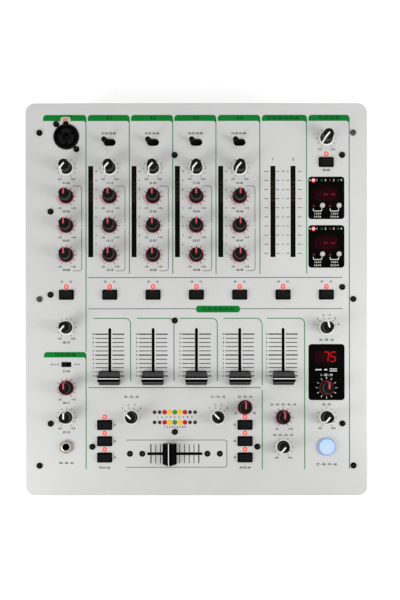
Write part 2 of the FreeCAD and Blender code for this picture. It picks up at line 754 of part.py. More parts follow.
def make_knobs():
    """Knob caps on their shafts. The cap's origin is the top of the plate under its axis."""
    bore = S.shaft_radius + S.knob_fit
    floor = S.knob_gap
    cap = turned("knob_cap", [(bore, floor), (S.skirt_radius, floor), (S.skirt_radius, S.skirt_height),
                              (S.cap_base_radius, S.skirt_height),
                              (S.cap_top_radius, S.knob_height - S.pointer_height - S.cap_edge),
                              (S.cap_top_radius - S.cap_edge, S.knob_height - S.pointer_height),
                              (0, S.knob_height - S.pointer_height), (0, S.knob_bore_depth),
                              (bore, S.knob_bore_depth)])
    reach = S.cap_top_radius - S.cap_edge
    pointer = cap.newObject("PartDesign::AdditiveBox", "knob_pointer")
    bind(pointer, Length=S.pointer_width, Width=reach + S.pointer_tail, Height=S.pointer_height)
    place(pointer, S.pointer_width / -2, -S.pointer_tail, S.knob_height - S.pointer_height)
    depth = S.plate_thickness + S.board_gap - S.pot_floor - S.shaft_room
    shaft = rod("knob_shaft", S.shaft_radius, depth + S.knob_bore_depth, 0, 0, -depth)
    for name, x, y, angle in KNOBS:
        node(name, place(turn(group(name, cap, shaft), -angle, (0, 0, 1)), x, y, PLATE_TOP))


def switch_body(name):
    """Key switch with the bore that guides a button's stem."""
    case = block(f"{name}_case", S.switch_side, S.switch_side, S.switch_height)
    bore = rod(f"{name}_bore", S.stem_radius + S.stem_room, S.switch_height, 0, 0,
               S.switch_height - S.switch_bore_depth)
    return cut(name, case, bore)


def pot_body():
    """Rotary control with a bush that carries the shaft."""
    height = S.board_gap - S.bush_gap
    case = fuse("pot_outside", block("pot_case", S.pot_width, S.pot_depth, S.pot_height),
                rod("pot_bush", S.bush_radius, height))
    return cut("pot", case, rod("pot_bore", S.shaft_radius + S.shaft_room, height, 0, 0, S.pot_floor))


def toggle_body():
    """Two cheeks on a base that carry the pins of a toggle lever."""
    pivot = S.board_gap + S.plate_thickness - S.toggle_pivot_depth
    gap = S.toggle_hub_width + S.toggle_hub_room
    width = gap + S.toggle_cheek * 2
    case = block("toggle_case", S.toggle_body_length, width, pivot + S.toggle_hub_radius)
    slot = block("toggle_gap", S.toggle_body_length + CUT_PAST * 2, gap, S.board_gap, 0, 0,
                 pivot - S.toggle_hub_radius - S.toggle_hub_room)
    holes = cross_rod("toggle_pin_holes", S.toggle_pin_radius + S.toggle_pin_room, width + CUT_PAST * 2, "Y",
                      0, 0, pivot)
    return cut("toggle_frame", case, fuse("toggle_room", slot, holes))


def mode_shoe_top():
    return S.board_gap - S.key_lip_gap


def mode_body():
    """Slide switch with the channel that guides the slider's foot."""
    height = mode_shoe_top() - S.mode_shoe_height - S.key_lip_gap
    case = block("mode_case", S.mode_body_length, S.mode_body_width, height)
    floor = height - S.mode_foot_depth - S.mode_room
    channel = block("mode_channel", S.mode_foot_length + S.mode_travel + S.mode_room * 2,
                    S.mode_foot_width + S.stem_room * 2, height, 0, 0, floor)
    return cut("mode_switch", case, channel)


def make_control_bodies():
    """Everything that stands on the board under the moving controls."""
    bodies = copies("pot", pot_body(), at([(x, y) for name, x, y, angle in KNOBS], BOARD_TOP))
    keys = CUE_KEYS + KILL_KEYS + SMALL_KEYS + [(EFFECTS_COLUMN, PHONES_ROW)]
    bodies += copies("switch", switch_body("key_switch"), at(keys, BOARD_TOP))
    bodies += copies("toggle_frame", toggle_body(), at(TOGGLES, BOARD_TOP))
    bodies += copies("mode_switch", mode_body(), [(MIC_COLUMN, MODE_ROW, BOARD_TOP)])
    node("control_bodies", group("control_bodies", *bodies))


def make_faders():
    """Fader caps on their levers. The origin is the top of the plate at the lever."""
    half, ridge = S.cap_width / 2, S.cap_ridge_width / 2
    shoulder = S.cap_height - S.cap_ridge_height
    section = [(-half, S.cap_gap), (half, S.cap_gap), (half, S.cap_shoulder), (ridge, shoulder),
               (ridge, S.cap_height), (-ridge, S.cap_height), (-ridge, shoulder), (-half, S.cap_shoulder)]
    solid = extruded("fader_cap_blank", "YZ_Plane", section, S.cap_length)
    top = S.cap_gap + S.lever_in_cap
    fit = S.lever_fit * 2
    pocket = block("fader_cap_pocket", S.lever_thickness + fit, S.lever_width + fit, top)
    cap = cut("fader_cap", solid, pocket)
    floor = -(S.plate_thickness + S.board_gap - S.track_floor - S.carriage_room)
    blade = block("lever_blade", S.lever_thickness, S.lever_width, top - floor, 0, 0, floor)
    carriage = block("lever_carriage", S.carriage_width, S.carriage_length, S.carriage_height, 0, 0, floor)
    lever = fuse("fader_lever", blade, carriage)
    names = [f"channel_{k}_fader" for k in range(1, 5)] + ["master_fader"]
    for name, column in zip(names, FADER_COLUMNS):
        node(name, place(group(name, cap, lever), column, FADER_REST_ROW, PLATE_TOP))
    node("crossfader", place(turn(group("crossfader", cap, lever), 90, (0, 0, 1)),
                             CROSSFADER_X - S.crossfader_rest, CROSSFADER_ROW, PLATE_TOP))


def make_tracks():
    """Closed channels in which the fader carriages run, and the strip that the crossfader screws hold."""
    run = S.fader_travel + S.carriage_length + S.carriage_room * 2
    case = block("track_case", S.track_width, run + S.track_end * 2, S.track_height)
    channel = block("track_channel", S.carriage_width + S.carriage_room * 2, run,
                    S.carriage_height + S.carriage_room * 2, 0, 0, S.track_floor)
    slot = block("track_slot", S.slot_width, SLOT_LENGTH, S.track_height, 0, 0,
                 S.track_floor + S.carriage_room)
    track = cut("track", case, fuse("track_room", channel, slot))
    tracks = copies("track", track, at([(column, FADER_ROW) for column in FADER_COLUMNS], BOARD_TOP))
    tracks.append(place(turn(group("cross_track", track), 90, (0, 0, 1)),
                        CROSSFADER_X, CROSSFADER_ROW, BOARD_TOP))
    strip_under = TRAY_TOP - S.strip_thickness
    blank = block("strip_blank", (S.crossfader_screw_outer + S.strip_past_screw) * 2, S.strip_width,
                  S.strip_thickness, CROSSFADER_X, CROSSFADER_ROW, strip_under)
    through = S.strip_thickness + CUT_PAST * 2
    opening = place(group("strip_slot", obround("strip_slot_tool", SLOT_LENGTH, S.slot_width, through, 0)),
                    CROSSFADER_X, CROSSFADER_ROW, strip_under - CUT_PAST)
    hole = rod("strip_hole", S.screw_radius + S.screw_room, through)
    holes = copies("strip_hole", hole, at(CROSSFADER_SCREWS, strip_under - CUT_PAST))
    tracks.append(cut("crossfader_strip", blank, opening, *holes))
    node("fader_tracks", group("fader_tracks", *tracks))


def stem_bottom():
    """Lower end of a button's stem, from the top of the plate."""
    return S.switch_height - S.stem_entry - S.board_gap - S.plate_thickness


def key(name, cap, lip, rise_floor):
    """A button: its cap, the lip that keeps it under the plate and its stem."""
    stem = rod(f"{name}_stem", S.stem_radius, rise_floor - stem_bottom(), 0, 0, stem_bottom())
    return fuse(name, cap, lip, stem)


def lip_top():
    return -(S.plate_thickness + S.key_lip_gap)


def round_key(name, radius, rise):
    """A round button: its cap, its lip and its stem."""
    lip_floor = lip_top() - S.key_lip_height
    wide = radius + S.key_lip
    cap = turned(f"{name}_cap", [(0, lip_floor), (wide, lip_floor), (wide, lip_top()), (radius, lip_top()),
                                 (radius, rise - S.key_edge), (radius - S.key_edge, rise), (0, rise)])
    stem = rod(f"{name}_stem", S.stem_radius, lip_floor - stem_bottom(), 0, 0, stem_bottom())
    return fuse(name, cap, stem)


def make_buttons():
    """Rectangular keys, small display keys and the large effects button."""
    lip_floor = lip_top() - S.key_lip_height
    cap = place(rounded_block("key_cap", S.key_width, S.key_depth, S.key_rise - lip_top(), S.key_corner,
                              S.key_edge), 0, 0, lip_top())
    lip = block("key_lip", S.key_width + S.key_lip * 2, S.key_depth + S.key_lip * 2, S.key_lip_height,
                0, 0, lip_floor)
    button = key("key", cap, lip, lip_floor)
    node("cue_buttons", group("cue_buttons", *copies("cue_button", button, at(CUE_KEYS, PLATE_TOP))))
    node("kill_buttons", group("kill_buttons", *copies("kill_button", button, at(KILL_KEYS, PLATE_TOP))))
    small = round_key("small_key", S.small_key_radius, S.small_key_rise)
    node("display_keys", group("display_keys", *copies("display_key", small, at(SMALL_KEYS, PLATE_TOP))))
    large = round_key("effects_key", S.effects_key_radius, S.key_rise)
    node("effects_button", place(group("effects_button", large), EFFECTS_COLUMN, PHONES_ROW, PLATE_TOP))


def make_toggles():
    """Bat levers on trunnion pins, thrown to the left. The origin is the pivot."""
    tip = S.toggle_length
    bat = turned("toggle_bat", [(0, 0), (S.toggle_root_radius, 0),
                                (S.toggle_tip_radius, tip - S.toggle_tip_round),
                                (S.toggle_tip_radius - S.toggle_tip_round, tip), (0, tip)])
    hub = cross_rod("toggle_hub", S.toggle_hub_radius, S.toggle_hub_width, "Y")
    pin = cross_rod("toggle_pin", S.toggle_pin_radius,
                    S.toggle_hub_width + S.toggle_hub_room + S.toggle_cheek * 2, "Y")
    lever = fuse("toggle_lever", bat, hub, pin)
    for k, (x, y) in enumerate(TOGGLES, 1):
        name = f"channel_{k}_toggle"
        tilted = bind(turn(group(name, lever), -SIZES["toggle_tilt"], (0, 1, 0)),
                      **{"Placement.Rotation.Angle": -S.toggle_tilt})
        node(name, place(tilted, x, y, PLATE_TOP - S.toggle_pivot_depth))


def make_mode_slider():
    """Slide switch knob at the left end of its slot, with its shoe under the plate and its foot."""
    length = S.mode_slot_length - S.mode_travel - S.mode_room * 2
    shoe_top = mode_shoe_top() - S.board_gap - S.plate_thickness
    shoe_floor = shoe_top - S.mode_shoe_height
    knob = block("mode_knob", length, S.mode_slot_width - S.mode_room * 2, S.mode_rise - shoe_top,
                 0, 0, shoe_top)
    shoe = block("mode_shoe", S.mode_slot_length + S.mode_travel, S.mode_slot_width + S.key_lip * 2,
                 S.mode_shoe_height, 0, 0, shoe_floor)
    foot_height = S.mode_foot_depth + S.key_lip_gap
    foot = block("mode_foot", S.mode_foot_length, S.mode_foot_width, foot_height,
                 0, 0, shoe_floor - foot_height)
    slider = group("mode_slider", fuse("mode_slider_solid", knob, shoe, foot))
    node("mode_slider", place(slider, MIC_COLUMN - S.mode_travel / 2, MODE_ROW, PLATE_TOP))


def make_windows():
    """Three dark windows flush with the plate and six meter bars that stand on the board."""
    beat = rounded_block("beat_blank", S.window_width, S.beat_window_height, S.plate_thickness,
                         S.window_corner)
    key_hole = rod("window_key_hole", S.small_key_radius + S.key_room, S.plate_thickness + CUT_PAST * 2)
    key_holes = copies("window_key_hole", key_hole,
                       [(S.small_key_shift + S.small_key_spread * side, -S.small_key_drop, -CUT_PAST)
                        for side in (-1, 1)])
    beat_window = cut("beat_window", beat, *key_holes)
    windows = copies("beat_window", beat_window, [(EFFECTS_COLUMN, row, TRAY_TOP) for row in WINDOW_ROWS])
    tall = rounded_block("effects_blank", S.window_width, S.effects_window_height, S.plate_thickness,
                         S.window_corner)
    shaft = rod("window_shaft_hole", S.shaft_radius + S.shaft_plate_room, S.plate_thickness + CUT_PAST * 2,
                0, -S.mix_to_effects_window, -CUT_PAST)
    windows.append(place(group("effects_window_placed", cut("effects_window", tall, shaft)),
                         EFFECTS_COLUMN, EFFECTS_WINDOW_ROW, TRAY_TOP))
    bar = block("meter_bar", S.meter_width, S.meter_length, S.board_gap + S.plate_thickness)
    windows += copies("meter", bar, at(METERS, BOARD_TOP))
    node("display_windows", group("display_windows", *windows))


def make_lamps():
    """Lamp pipes that stand on the board, and the display modules that carry the windows."""
    height = S.board_gap + S.plate_thickness + S.lamp_rise
    lamp = turned("lamp", [(0, 0), (S.lamp_radius, 0), (S.lamp_radius, height - S.lamp_rise),
                           (S.lamp_radius - S.lamp_rise, height), (0, height)])
    lamps = copies("lamp", lamp, at(RED_LAMPS + TEMPO_LAMPS, BOARD_TOP))
    module = block("module", S.window_width - S.module_side_margin * 2, S.module_height, S.board_gap)
    half = S.module_height / 2 + S.module_top_margin
    spots = [(EFFECTS_COLUMN, row + S.beat_window_height / 2 - half) for row in WINDOW_ROWS]
    spots.append((EFFECTS_COLUMN, EFFECTS_WINDOW_ROW + S.effects_window_height / 2 - half))
    lamps += copies("module", module, at(spots, BOARD_TOP))
    node("indicator_lamps", group("indicator_lamps", *lamps))


def mic_socket():
    """Combination socket: flange under the plate, round shell through it, jack bore and three pin holes."""
    face = S.mic_rise - S.mic_face_drop
    shell = turned("mic_shell", [(S.jack_bore_radius, -S.mic_depth), (S.mic_radius, -S.mic_depth),
                                 (S.mic_radius, S.mic_rise), (S.mic_radius - S.mic_rim, S.mic_rise),
                                 (S.mic_radius - S.mic_rim, face), (S.jack_bore_radius, face)])
    flange_floor = -(S.plate_thickness + S.mic_flange_thickness)
    blank = block("mic_flange_blank", S.mic_flange_width, S.mic_flange_height, S.mic_flange_thickness,
                  0, 0, flange_floor)
    middle = rod("mic_flange_middle", S.mic_radius - S.mic_rim, S.mic_flange_thickness + CUT_PAST * 2, 0, 0,
                 flange_floor - CUT_PAST)
    hole = rod("mic_flange_hole", S.screw_radius + S.screw_room, S.mic_flange_thickness + CUT_PAST * 2)
    holes = copies("mic_flange_hole", hole, [(S.mic_screw_across * side, -S.mic_screw_along * side,
                                              flange_floor - CUT_PAST) for side in (-1, 1)])
    flange = cut("mic_flange", blank, middle, *holes)
    pin_hole = rod("mic_pin_hole", S.mic_pin_hole_radius, S.mic_pin_hole_depth + CUT_PAST)
    spots = [(S.mic_pin_circle * math.sin(math.radians(angle)),
              S.mic_pin_circle * math.cos(math.radians(angle)),
              face - S.mic_pin_hole_depth) for angle in (60, 180, 300)]
    socket = cut("mic_socket", fuse("mic_outside", shell, flange), *copies("mic_pin_hole", pin_hole, spots))
    latch = block("mic_latch", S.latch_width, S.latch_length, S.latch_thickness, 0,
                  S.mic_radius + S.socket_room + S.latch_length / 2, 0)
    return place(group("mic_socket_placed", socket, latch), MIC_COLUMN, MIC_ROW, PLATE_TOP)


def phones_socket():
    """Quarter-inch phones jack: body under the plate, bush through it and a hexagon nut on top."""
    bush = rod("phones_bush", S.jack_bush_radius, S.jack_rise + S.plate_thickness, 0, 0, -S.plate_thickness)
    body = block("phones_body", S.jack_body_side, S.jack_body_side, S.jack_bore_depth, 0, 0,
                 -(S.plate_thickness + S.jack_bore_depth))
    outside = fuse("phones_outside", bush, body)
    bore = rod("phones_bore", S.jack_bore_radius, S.jack_bore_depth + S.jack_rise, 0, 0, -S.jack_bore_depth)
    hexagon = bind(add("Part::Prism", "nut_hexagon"), Circumradius=S.nut_across_flats / math.sqrt(3),
                   Height=S.nut_height)
    nut_bore = rod("nut_bore", S.jack_bush_radius + S.screw_room, S.nut_height + CUT_PAST * 2,
                   0, 0, -CUT_PAST)
    nut = cut("phones_nut", hexagon, nut_bore)
    jack = cut("phones_jack", outside, bore)
    return place(group("phones_socket", jack, nut), MIC_COLUMN, PHONES_ROW, PLATE_TOP)


def phono_spots():
    """Places (x, z) of the phono sockets on the rear wall: eleven pairs in two rows."""
    left = PLATE_WIDTH / -2 + S.phono_start
    return [(left + S.phono_pitch * k, S.foot_height + S.phono_row_height + S.phono_row_pitch * row)
            for k in range(11) for row in (0, 1)]


def line_jack_spots():
    """Places (x, z) of the two balanced output jacks."""
    left = PLATE_WIDTH / -2 + S.line_jack_start
    return [(left + S.line_jack_pitch * k, S.foot_height + S.phono_row_height + S.phono_row_pitch / 2)
            for k in range(2)]


def inlet_spot():
    return PLATE_WIDTH / -2 + S.inlet_start, S.foot_height + S.inlet_height - S.inlet_body_height / 2


def rocker_spot():
    x, z = inlet_spot()
    return x, z + S.rocker_rise


def post_spot():
    """Place (x, z) of the earth post, under the first balanced jack."""
    x, z = line_jack_spots()[0]
    return x, z - S.line_jack_pitch


def rocker_frame_width():
    return S.rocker_width + (S.rocker_room + S.rocker_frame_wall) * 2


def rocker_frame_height():
    return (S.rocker_half_height + S.rocker_room + S.rocker_frame_wall) * 2


def rear_turned(name, points, spots):
    """Turned sockets that point out of the rear wall, from (radius, distance past the wall) points."""
    pattern = turned(name, points)
    placed = [turn(group(f"{name}_{k}", pattern), -90, (1, 0, 0)) for k in range(1, len(spots) + 1)]
    return [place(item, x, TRAY_REAR, z) for item, (x, z) in zip(placed, spots)]


def mains_inlet():
    """Mains inlet: flange outside the wall, a shell with a deep mouth and three flat pins."""
    x, z = inlet_spot()
    flange = block("inlet_flange", S.inlet_flange_width, S.inlet_flange_thickness, S.inlet_flange_height,
                   x, TRAY_REAR + S.inlet_flange_thickness / 2, z - S.inlet_flange_height / 2)
    shell = block("inlet_shell_block", S.inlet_width, S.inlet_depth, S.inlet_body_height,
                  x, TRAY_REAR - S.inlet_depth / 2, z - S.inlet_body_height / 2)
    mouth_front = TRAY_REAR + S.inlet_flange_thickness
    cavity_width = S.inlet_width - S.inlet_shell * 2
    cavity_height = S.inlet_body_height - S.inlet_shell * 2
    cavity = block("inlet_cavity", cavity_width, S.inlet_cavity_depth, cavity_height,
                   x, mouth_front - S.inlet_cavity_depth / 2, z - cavity_height / 2)
    pin_middle = mouth_front - S.inlet_cavity_depth + S.inlet_pin_length / 2
    pin_under = z - S.inlet_pin_height / 2
    pins = [block(f"inlet_pin_{k}", S.inlet_pin_width, S.inlet_pin_length, S.inlet_pin_height,
                  x + S.inlet_pin_spread * side, pin_middle, pin_under + S.inlet_earth_rise * up)
            for k, (side, up) in enumerate(((-1, -0.5), (1, -0.5), (0, 0.5)), 1)]
    body = cut("inlet_body", fuse("inlet_outside", flange, shell), cavity)
    return fuse("mains_inlet", body, *pins)


def rocker_frame():
    """Frame of the mains switch with a bezel outside the wall and holes for the rocker's pins."""
    x, z = rocker_spot()
    width, height = rocker_frame_width(), rocker_frame_height()
    tube = block("rocker_tube", width, S.rocker_frame_depth, height,
                 x, TRAY_REAR - S.rocker_frame_depth / 2, z - height / 2)
    bezel = block("rocker_bezel_plate", width + S.rocker_bezel * 2, S.rocker_bezel,
                  height + S.rocker_bezel * 2, x, TRAY_REAR + S.rocker_bezel / 2,
                  z - height / 2 - S.rocker_bezel)
    room_width = S.rocker_width + S.rocker_room * 2
    room_height = (S.rocker_half_height + S.rocker_room) * 2
    floor = S.rocker_frame_depth - S.rocker_frame_wall
    room = block("rocker_room_block", room_width, floor + S.rocker_bezel * 2, room_height,
                 x, TRAY_REAR + S.rocker_bezel * 2 - (floor + S.rocker_bezel * 2) / 2, z - room_height / 2)
    holes = cross_rod("rocker_pin_holes", S.rocker_pin_radius + S.rocker_pin_room,
                      room_width + S.rocker_pin_length * 2, "X", x, TRAY_REAR - S.rocker_bezel, z)
    return cut("rocker_frame", fuse("rocker_outside", tube, bezel), fuse("rocker_space", room, holes))


def make_sockets():
    """Every fixed socket of the mixer, the frame of the mains switch and the earth post."""
    flange, collar = S.phono_flange_radius, S.phono_flange_thickness
    phono_end = collar + S.phono_length
    bore_floor = phono_end - S.phono_bore_depth
    phonos = rear_turned("phono", [(0, -S.phono_tail), (S.phono_radius, -S.phono_tail), (S.phono_radius, 0),
                                   (flange, 0), (flange, collar), (S.phono_radius, collar),
                                   (S.phono_radius, phono_end), (S.phono_bore_radius, phono_end),
                                   (S.phono_bore_radius, bore_floor), (0, bore_floor)], phono_spots())
    rise, bush = S.line_jack_rise, S.jack_bush_radius
    jack_floor = rise - S.jack_bore_depth
    jack_end = jack_floor - S.tray_wall
    jacks = rear_turned("line_jack", [(0, jack_end), (bush, jack_end), (bush, 0), (S.line_jack_radius, 0),
                                      (S.line_jack_radius, rise), (S.jack_bore_radius, rise),
                                      (S.jack_bore_radius, jack_floor), (0, jack_floor)], line_jack_spots())
    post = rear_turned("earth_post", [(0, -S.tray_wall), (S.post_radius, -S.tray_wall), (S.post_radius, 0),
                                      (flange, 0), (flange, collar), (S.post_radius, collar),
                                      (S.post_radius, S.post_length), (0, S.post_length)], [post_spot()])
    node("sockets", group("sockets", mic_socket(), phones_socket(), mains_inlet(), rocker_frame(),
                          *phonos, *jacks, *post))


def make_rocker():
    """Mains rocker on two pins, tipped to its upper end. The origin is its pivot."""
    half = S.rocker_half_height
    wedge = extruded("rocker_wedge", "YZ_Plane",
                     [(-S.rocker_keel, -S.rocker_keel_half), (S.rocker_nose, -half), (S.rocker_dip, 0),
                      (S.rocker_nose, half), (-S.rocker_keel, S.rocker_keel_half)], S.rocker_width)
    pins = cross_rod("rocker_pins", S.rocker_pin_radius,
                     S.rocker_width + (S.rocker_room + S.rocker_pin_length - S.rocker_pin_room) * 2, "X")
    rocker = fuse("rocker_solid", wedge, pins)
    x, z = rocker_spot()
    tilted = bind(turn(group("power_rocker", rocker), SIZES["rocker_tilt"], (1, 0, 0)),
                  **{"Placement.Rotation.Angle": S.rocker_tilt})
    node("power_rocker", place(tilted, x, TRAY_REAR - S.rocker_bezel, z))


def make_supply():
    """Mains transformer on the floor, and the supply board on posts with its cans and heat sink."""
    x = PLATE_WIDTH / -2 + S.supply_from_side
    y = PLATE_DEPTH / 2 - S.supply_from_rear
    core = fuse("transformer", block("core", S.core_width, S.core_depth, S.core_height, x, y, FLOOR_TOP),
                block("coil", S.core_width - S.coil_inset * 2, S.core_depth + S.coil_overhang * 2,
                      S.core_height - S.coil_inset * 2, x, y, FLOOR_TOP + S.coil_inset))
    board_x = x + (S.core_width + S.supply_board_width) / 2 + S.supply_gap
    lift = FLOOR_TOP + S.supply_board_lift
    board = block("supply_board", S.supply_board_width, S.supply_board_depth, S.board_thickness,
                  board_x, y, lift)
    post_x = S.supply_board_width / 2 - S.supply_post_inset
    post_y = S.supply_board_depth / 2 - S.supply_post_inset
    posts = [rod("supply_post", S.supply_post_radius, S.supply_board_lift, board_x + post_x * side,
                 y + post_y * end, FLOOR_TOP) for side in (-1, 1) for end in (-1, 1)]
    top = lift + S.board_thickness
    cans = [rod("supply_can", S.can_radius, S.can_height, board_x + S.can_pitch * step, y, top)
            for step in (-1, 0, 1)]
    sink = block("heat_sink", S.sink_width, S.sink_depth, S.sink_height, board_x,
                 y + S.supply_board_depth / 2 - S.sink_depth, top)
    node("power_supply", group("power_supply", core, board, *posts, *cans, sink))


def check_document():
    """Stop if any object failed or any sub-part has no valid shape."""
    for item in DOC.Objects:
        if "Invalid" in item.State or "Error" in item.State:
            raise RuntimeError(f"{item.Label} failed: {item.State}")
    for item in NODES:
        if item.Shape.isNull() or not item.Shape.isValid():
            raise RuntimeError(f"{item.Label} has no valid shape")


def main():
    fill_sheet()
    for make in (make_face_plate, make_tray, make_feet, make_screws, make_board, make_control_bodies,
                 make_tracks, make_sockets, make_supply, make_windows, make_lamps, make_knobs, make_faders,
                 make_toggles, make_mode_slider, make_rocker, make_buttons):
        make()
    DOC.recompute()
    check_document()
    os.makedirs("parts", exist_ok=True)
    for item in NODES:
        item.Shape.exportStep(f"parts/{item.Label}.step")


main()
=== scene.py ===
"""Looks of a four-channel club mixer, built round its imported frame.

Sizes are in millimetres until a mesh is made. +X is right, +Y is the rear and +Z is up.
"""
import logging
import math
from collections.abc import Sequence
from dataclasses import dataclass, field, replace
from enum import Enum
from functools import cache

import bmesh
import bpy
import numpy as np
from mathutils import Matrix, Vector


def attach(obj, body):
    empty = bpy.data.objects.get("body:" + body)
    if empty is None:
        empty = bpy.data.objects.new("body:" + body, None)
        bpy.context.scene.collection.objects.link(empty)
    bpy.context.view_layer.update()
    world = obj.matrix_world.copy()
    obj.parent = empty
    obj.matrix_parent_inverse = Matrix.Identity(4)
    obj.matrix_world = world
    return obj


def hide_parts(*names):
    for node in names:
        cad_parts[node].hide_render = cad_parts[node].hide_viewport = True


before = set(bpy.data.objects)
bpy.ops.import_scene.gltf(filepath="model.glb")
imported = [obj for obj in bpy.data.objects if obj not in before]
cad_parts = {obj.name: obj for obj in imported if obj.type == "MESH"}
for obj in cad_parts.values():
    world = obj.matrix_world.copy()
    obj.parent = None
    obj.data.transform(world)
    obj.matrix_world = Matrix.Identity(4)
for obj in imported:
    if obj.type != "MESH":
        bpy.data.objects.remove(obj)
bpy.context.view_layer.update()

LOG = logging.getLogger("mixer")
Tree, Node, Socket = bpy.types.NodeTree, bpy.types.Node, bpy.types.NodeSocket
Spot = tuple[float, float]
Triple = tuple[float, float, float]

# One millimetre in metres, the plate's upper face, how far ink stands above it and reaches below it
MM = 0.001
PLATE = 88.0
INK = 0.05
SUNK = 0.03
INK_LOW, INK_HIGH = PLATE - SUNK, PLATE + INK

# Columns and rows of controls on the face plate
PITCH = 40.5
COLUMNS = tuple(PITCH * (k - 3) for k in range(7))
MIC_X, MASTER_X, EFFECTS_X = COLUMNS[0], COLUMNS[5], COLUMNS[6]
CHANNELS = COLUMNS[1:5]
FADERS = COLUMNS[1:6]
TRIM_Y, HIGH_Y, MID_Y, LOW_Y = 122.5, 96.0, 68.65, 41.3
CUE_Y, FADER_REST_Y, MIX_Y = 4.2, -74.35, -82.85
ASSIGN_Y, PHONES_Y, METER_Y, TALK_Y, MODE_Y = -110.35, -137.85, 81.9, -26.5, -61.0
CROSS_X, CROSS_Y = -20.25, -144.4
ASSIGN_X = (CROSS_X - PITCH, CROSS_X + PITCH)
KILL_X = (-85.85, 45.35)
KILL_Y = (-117.5, -132.7, -147.9)
WINDOW_Y = (94.6, 49.2)
KEY_SPOTS = tuple((x, CUE_Y) for x in COLUMNS) + ((EFFECTS_X, 128.1),)
KILL_SPOTS = tuple((x, y) for x in KILL_X for y in KILL_Y)

# The rear wall's outer face, and the mains inlet and switch on it
REAR_WALL = 169.5
MAINS_X, INLET_Z, SWITCH_Z = -126.0, 25.0, 49.0


# Surfaces


@dataclass
class Shell:
    """A closed surface held as arrays.

    Attributes:
        points: corners in millimetres, n by 3.
        faces: corner numbers, m by 4; a triangle repeats its last corner.
        wear: a value from 0 to 1 for each corner, or None: rubbing and painted sheen and highlights, and on a lit
            lens how near its glowing middle the corner is.
    """

    points: np.ndarray
    faces: np.ndarray
    wear: np.ndarray | None = None

    def at(self, x: float = 0.0, y: float = 0.0, z: float = 0.0, turn: np.ndarray | None = None) -> "Shell":
        """The same surface, turned about its origin and then moved."""
        points = self.points if turn is None else self.points @ turn.T
        return replace(self, points=points + (x, y, z))

    def stretched(self, x: float, y: float) -> "Shell":
        """The same surface, its x and y multiplied."""
        return replace(self, points=self.points * (x, y, 1.0))

    def copies(self, places: np.ndarray) -> "Shell":
        """One copy at each place: points + place, with the corner numbers counted on.

        Args:
            places: n by 3 shifts in millimetres.

        Returns:
            The copies as one shell.
        """
        count = len(places)
        points = (self.points[None] + np.asarray(places, float)[:, None]).reshape(-1, 3)
        steps = np.arange(count)[:, None, None] * len(self.points)
        wear = None if self.wear is None else np.tile(self.wear, count)
        return Shell(points, (self.faces[None] + steps).reshape(-1, 4), wear)

    def outward(self) -> "Shell":
        """The surface with its faces outwards: the sum of corner tetrahedra gives the sign of its volume."""
        a, b, c, d = (self.points[self.faces[:, k]] for k in range(4))
        volume = np.sum(a * np.cross(b, c)) + np.sum(a * np.cross(c, d))
        return self if volume >= 0 else replace(self, faces=self.faces[:, [1, 0, 3, 2]])


def at_height(spots: Sequence[Spot], height: float = PLATE) -> np.ndarray:
    """Places at (x, y) spots, all at one height."""
    return np.array([(x, y, height) for x, y in spots])


class Axis(Enum):
    """Axis of a turn."""

    X = 0
    Y = 1
    Z = 2


def about(axis: Axis, degrees: float) -> np.ndarray:
    """Matrix of a turn about an axis, anticlockwise when the axis points at the viewer.

    Args:
        axis: the axis.
        degrees: angle of the turn.

    Returns:
        The matrix, 3 by 3.
    """
    c, s = math.cos(math.radians(degrees)), math.sin(math.radians(degrees))
    first, second = (axis.value + 1) % 3, (axis.value + 2) % 3
    turn = np.eye(3)
    turn[first, first], turn[first, second] = c, -s
    turn[second, first], turn[second, second] = s, c
    return turn


def loft(rings: np.ndarray, wear: Sequence[float] | None = None, closed: bool = False) -> Shell:
    """Join rings of points in order, as a profile carried along a path.

    Each quad joins two neighbours of one ring to the same two of the next. Open ends are closed by a fan to
    the mean of their ring; a closed path joins its last ring to its first.

    Args:
        rings: k rings of m points, k by m by 3.
        wear: one value for each ring.
        closed: whether the path returns to its start.

    Returns:
        The closed surface.
    """
    count, around = rings.shape[:2]
    points = rings.reshape(-1, 3)
    index = np.arange(count * around).reshape(count, around)
    low = index if closed else index[:-1]
    high = np.roll(index, -1, 0) if closed else index[1:]
    faces = np.stack((low, np.roll(low, -1, 1), np.roll(high, -1, 1), high), -1).reshape(-1, 4)
    worn = None if wear is None else np.repeat(wear, around)
    if not closed:
        foot, head = len(points), len(points) + 1
        points = np.vstack((points, rings[[0, -1]].mean(1)))
        first, last = index[0], index[-1]
        spot = np.ones_like(first)
        start = np.stack((np.roll(first, -1), first, spot * foot, spot * foot), -1)
        end = np.stack((last, np.roll(last, -1), spot * head, spot * head), -1)
        faces = np.vstack((faces, start, end))
        worn = None if wear is None else np.concatenate((worn, (wear[0], wear[-1])))
    return Shell(points, faces, worn).outward()


def turned(profile: Sequence[Spot], sides: int = 48, wear: Sequence[float] | None = None, closed: bool = False,
           flute: Sequence[float] | None = None, flutes: int = 0) -> Shell:
    """Turn a profile about Z: x = r cos a, y = r sin a, with r drawn in by flute * ((1 - cos(n a)) / 2) ** 2.

    Args:
        profile: (radius, height) points from one end to the other.
        sides: points round the axis.
        wear: one value for each profile point.
        closed: whether the profile is a ring of its own, as for a tube.
        flute: depth of the flutes at each profile point.
        flutes: how many there are.

    Returns:
        The closed surface.
    """
    radius, height = np.array(profile, float).T
    angle = np.linspace(0.0, 2 * math.pi, sides, endpoint=False)
    drawn = 0.0 if flute is None else np.outer(flute, (0.5 - 0.5 * np.cos(flutes * angle)) ** 2)
    reach = radius[:, None] - drawn + np.zeros_like(angle)
    up = np.broadcast_to(height[:, None], reach.shape)
    return loft(np.stack((reach * np.cos(angle), reach * np.sin(angle), up), -1), wear, closed)


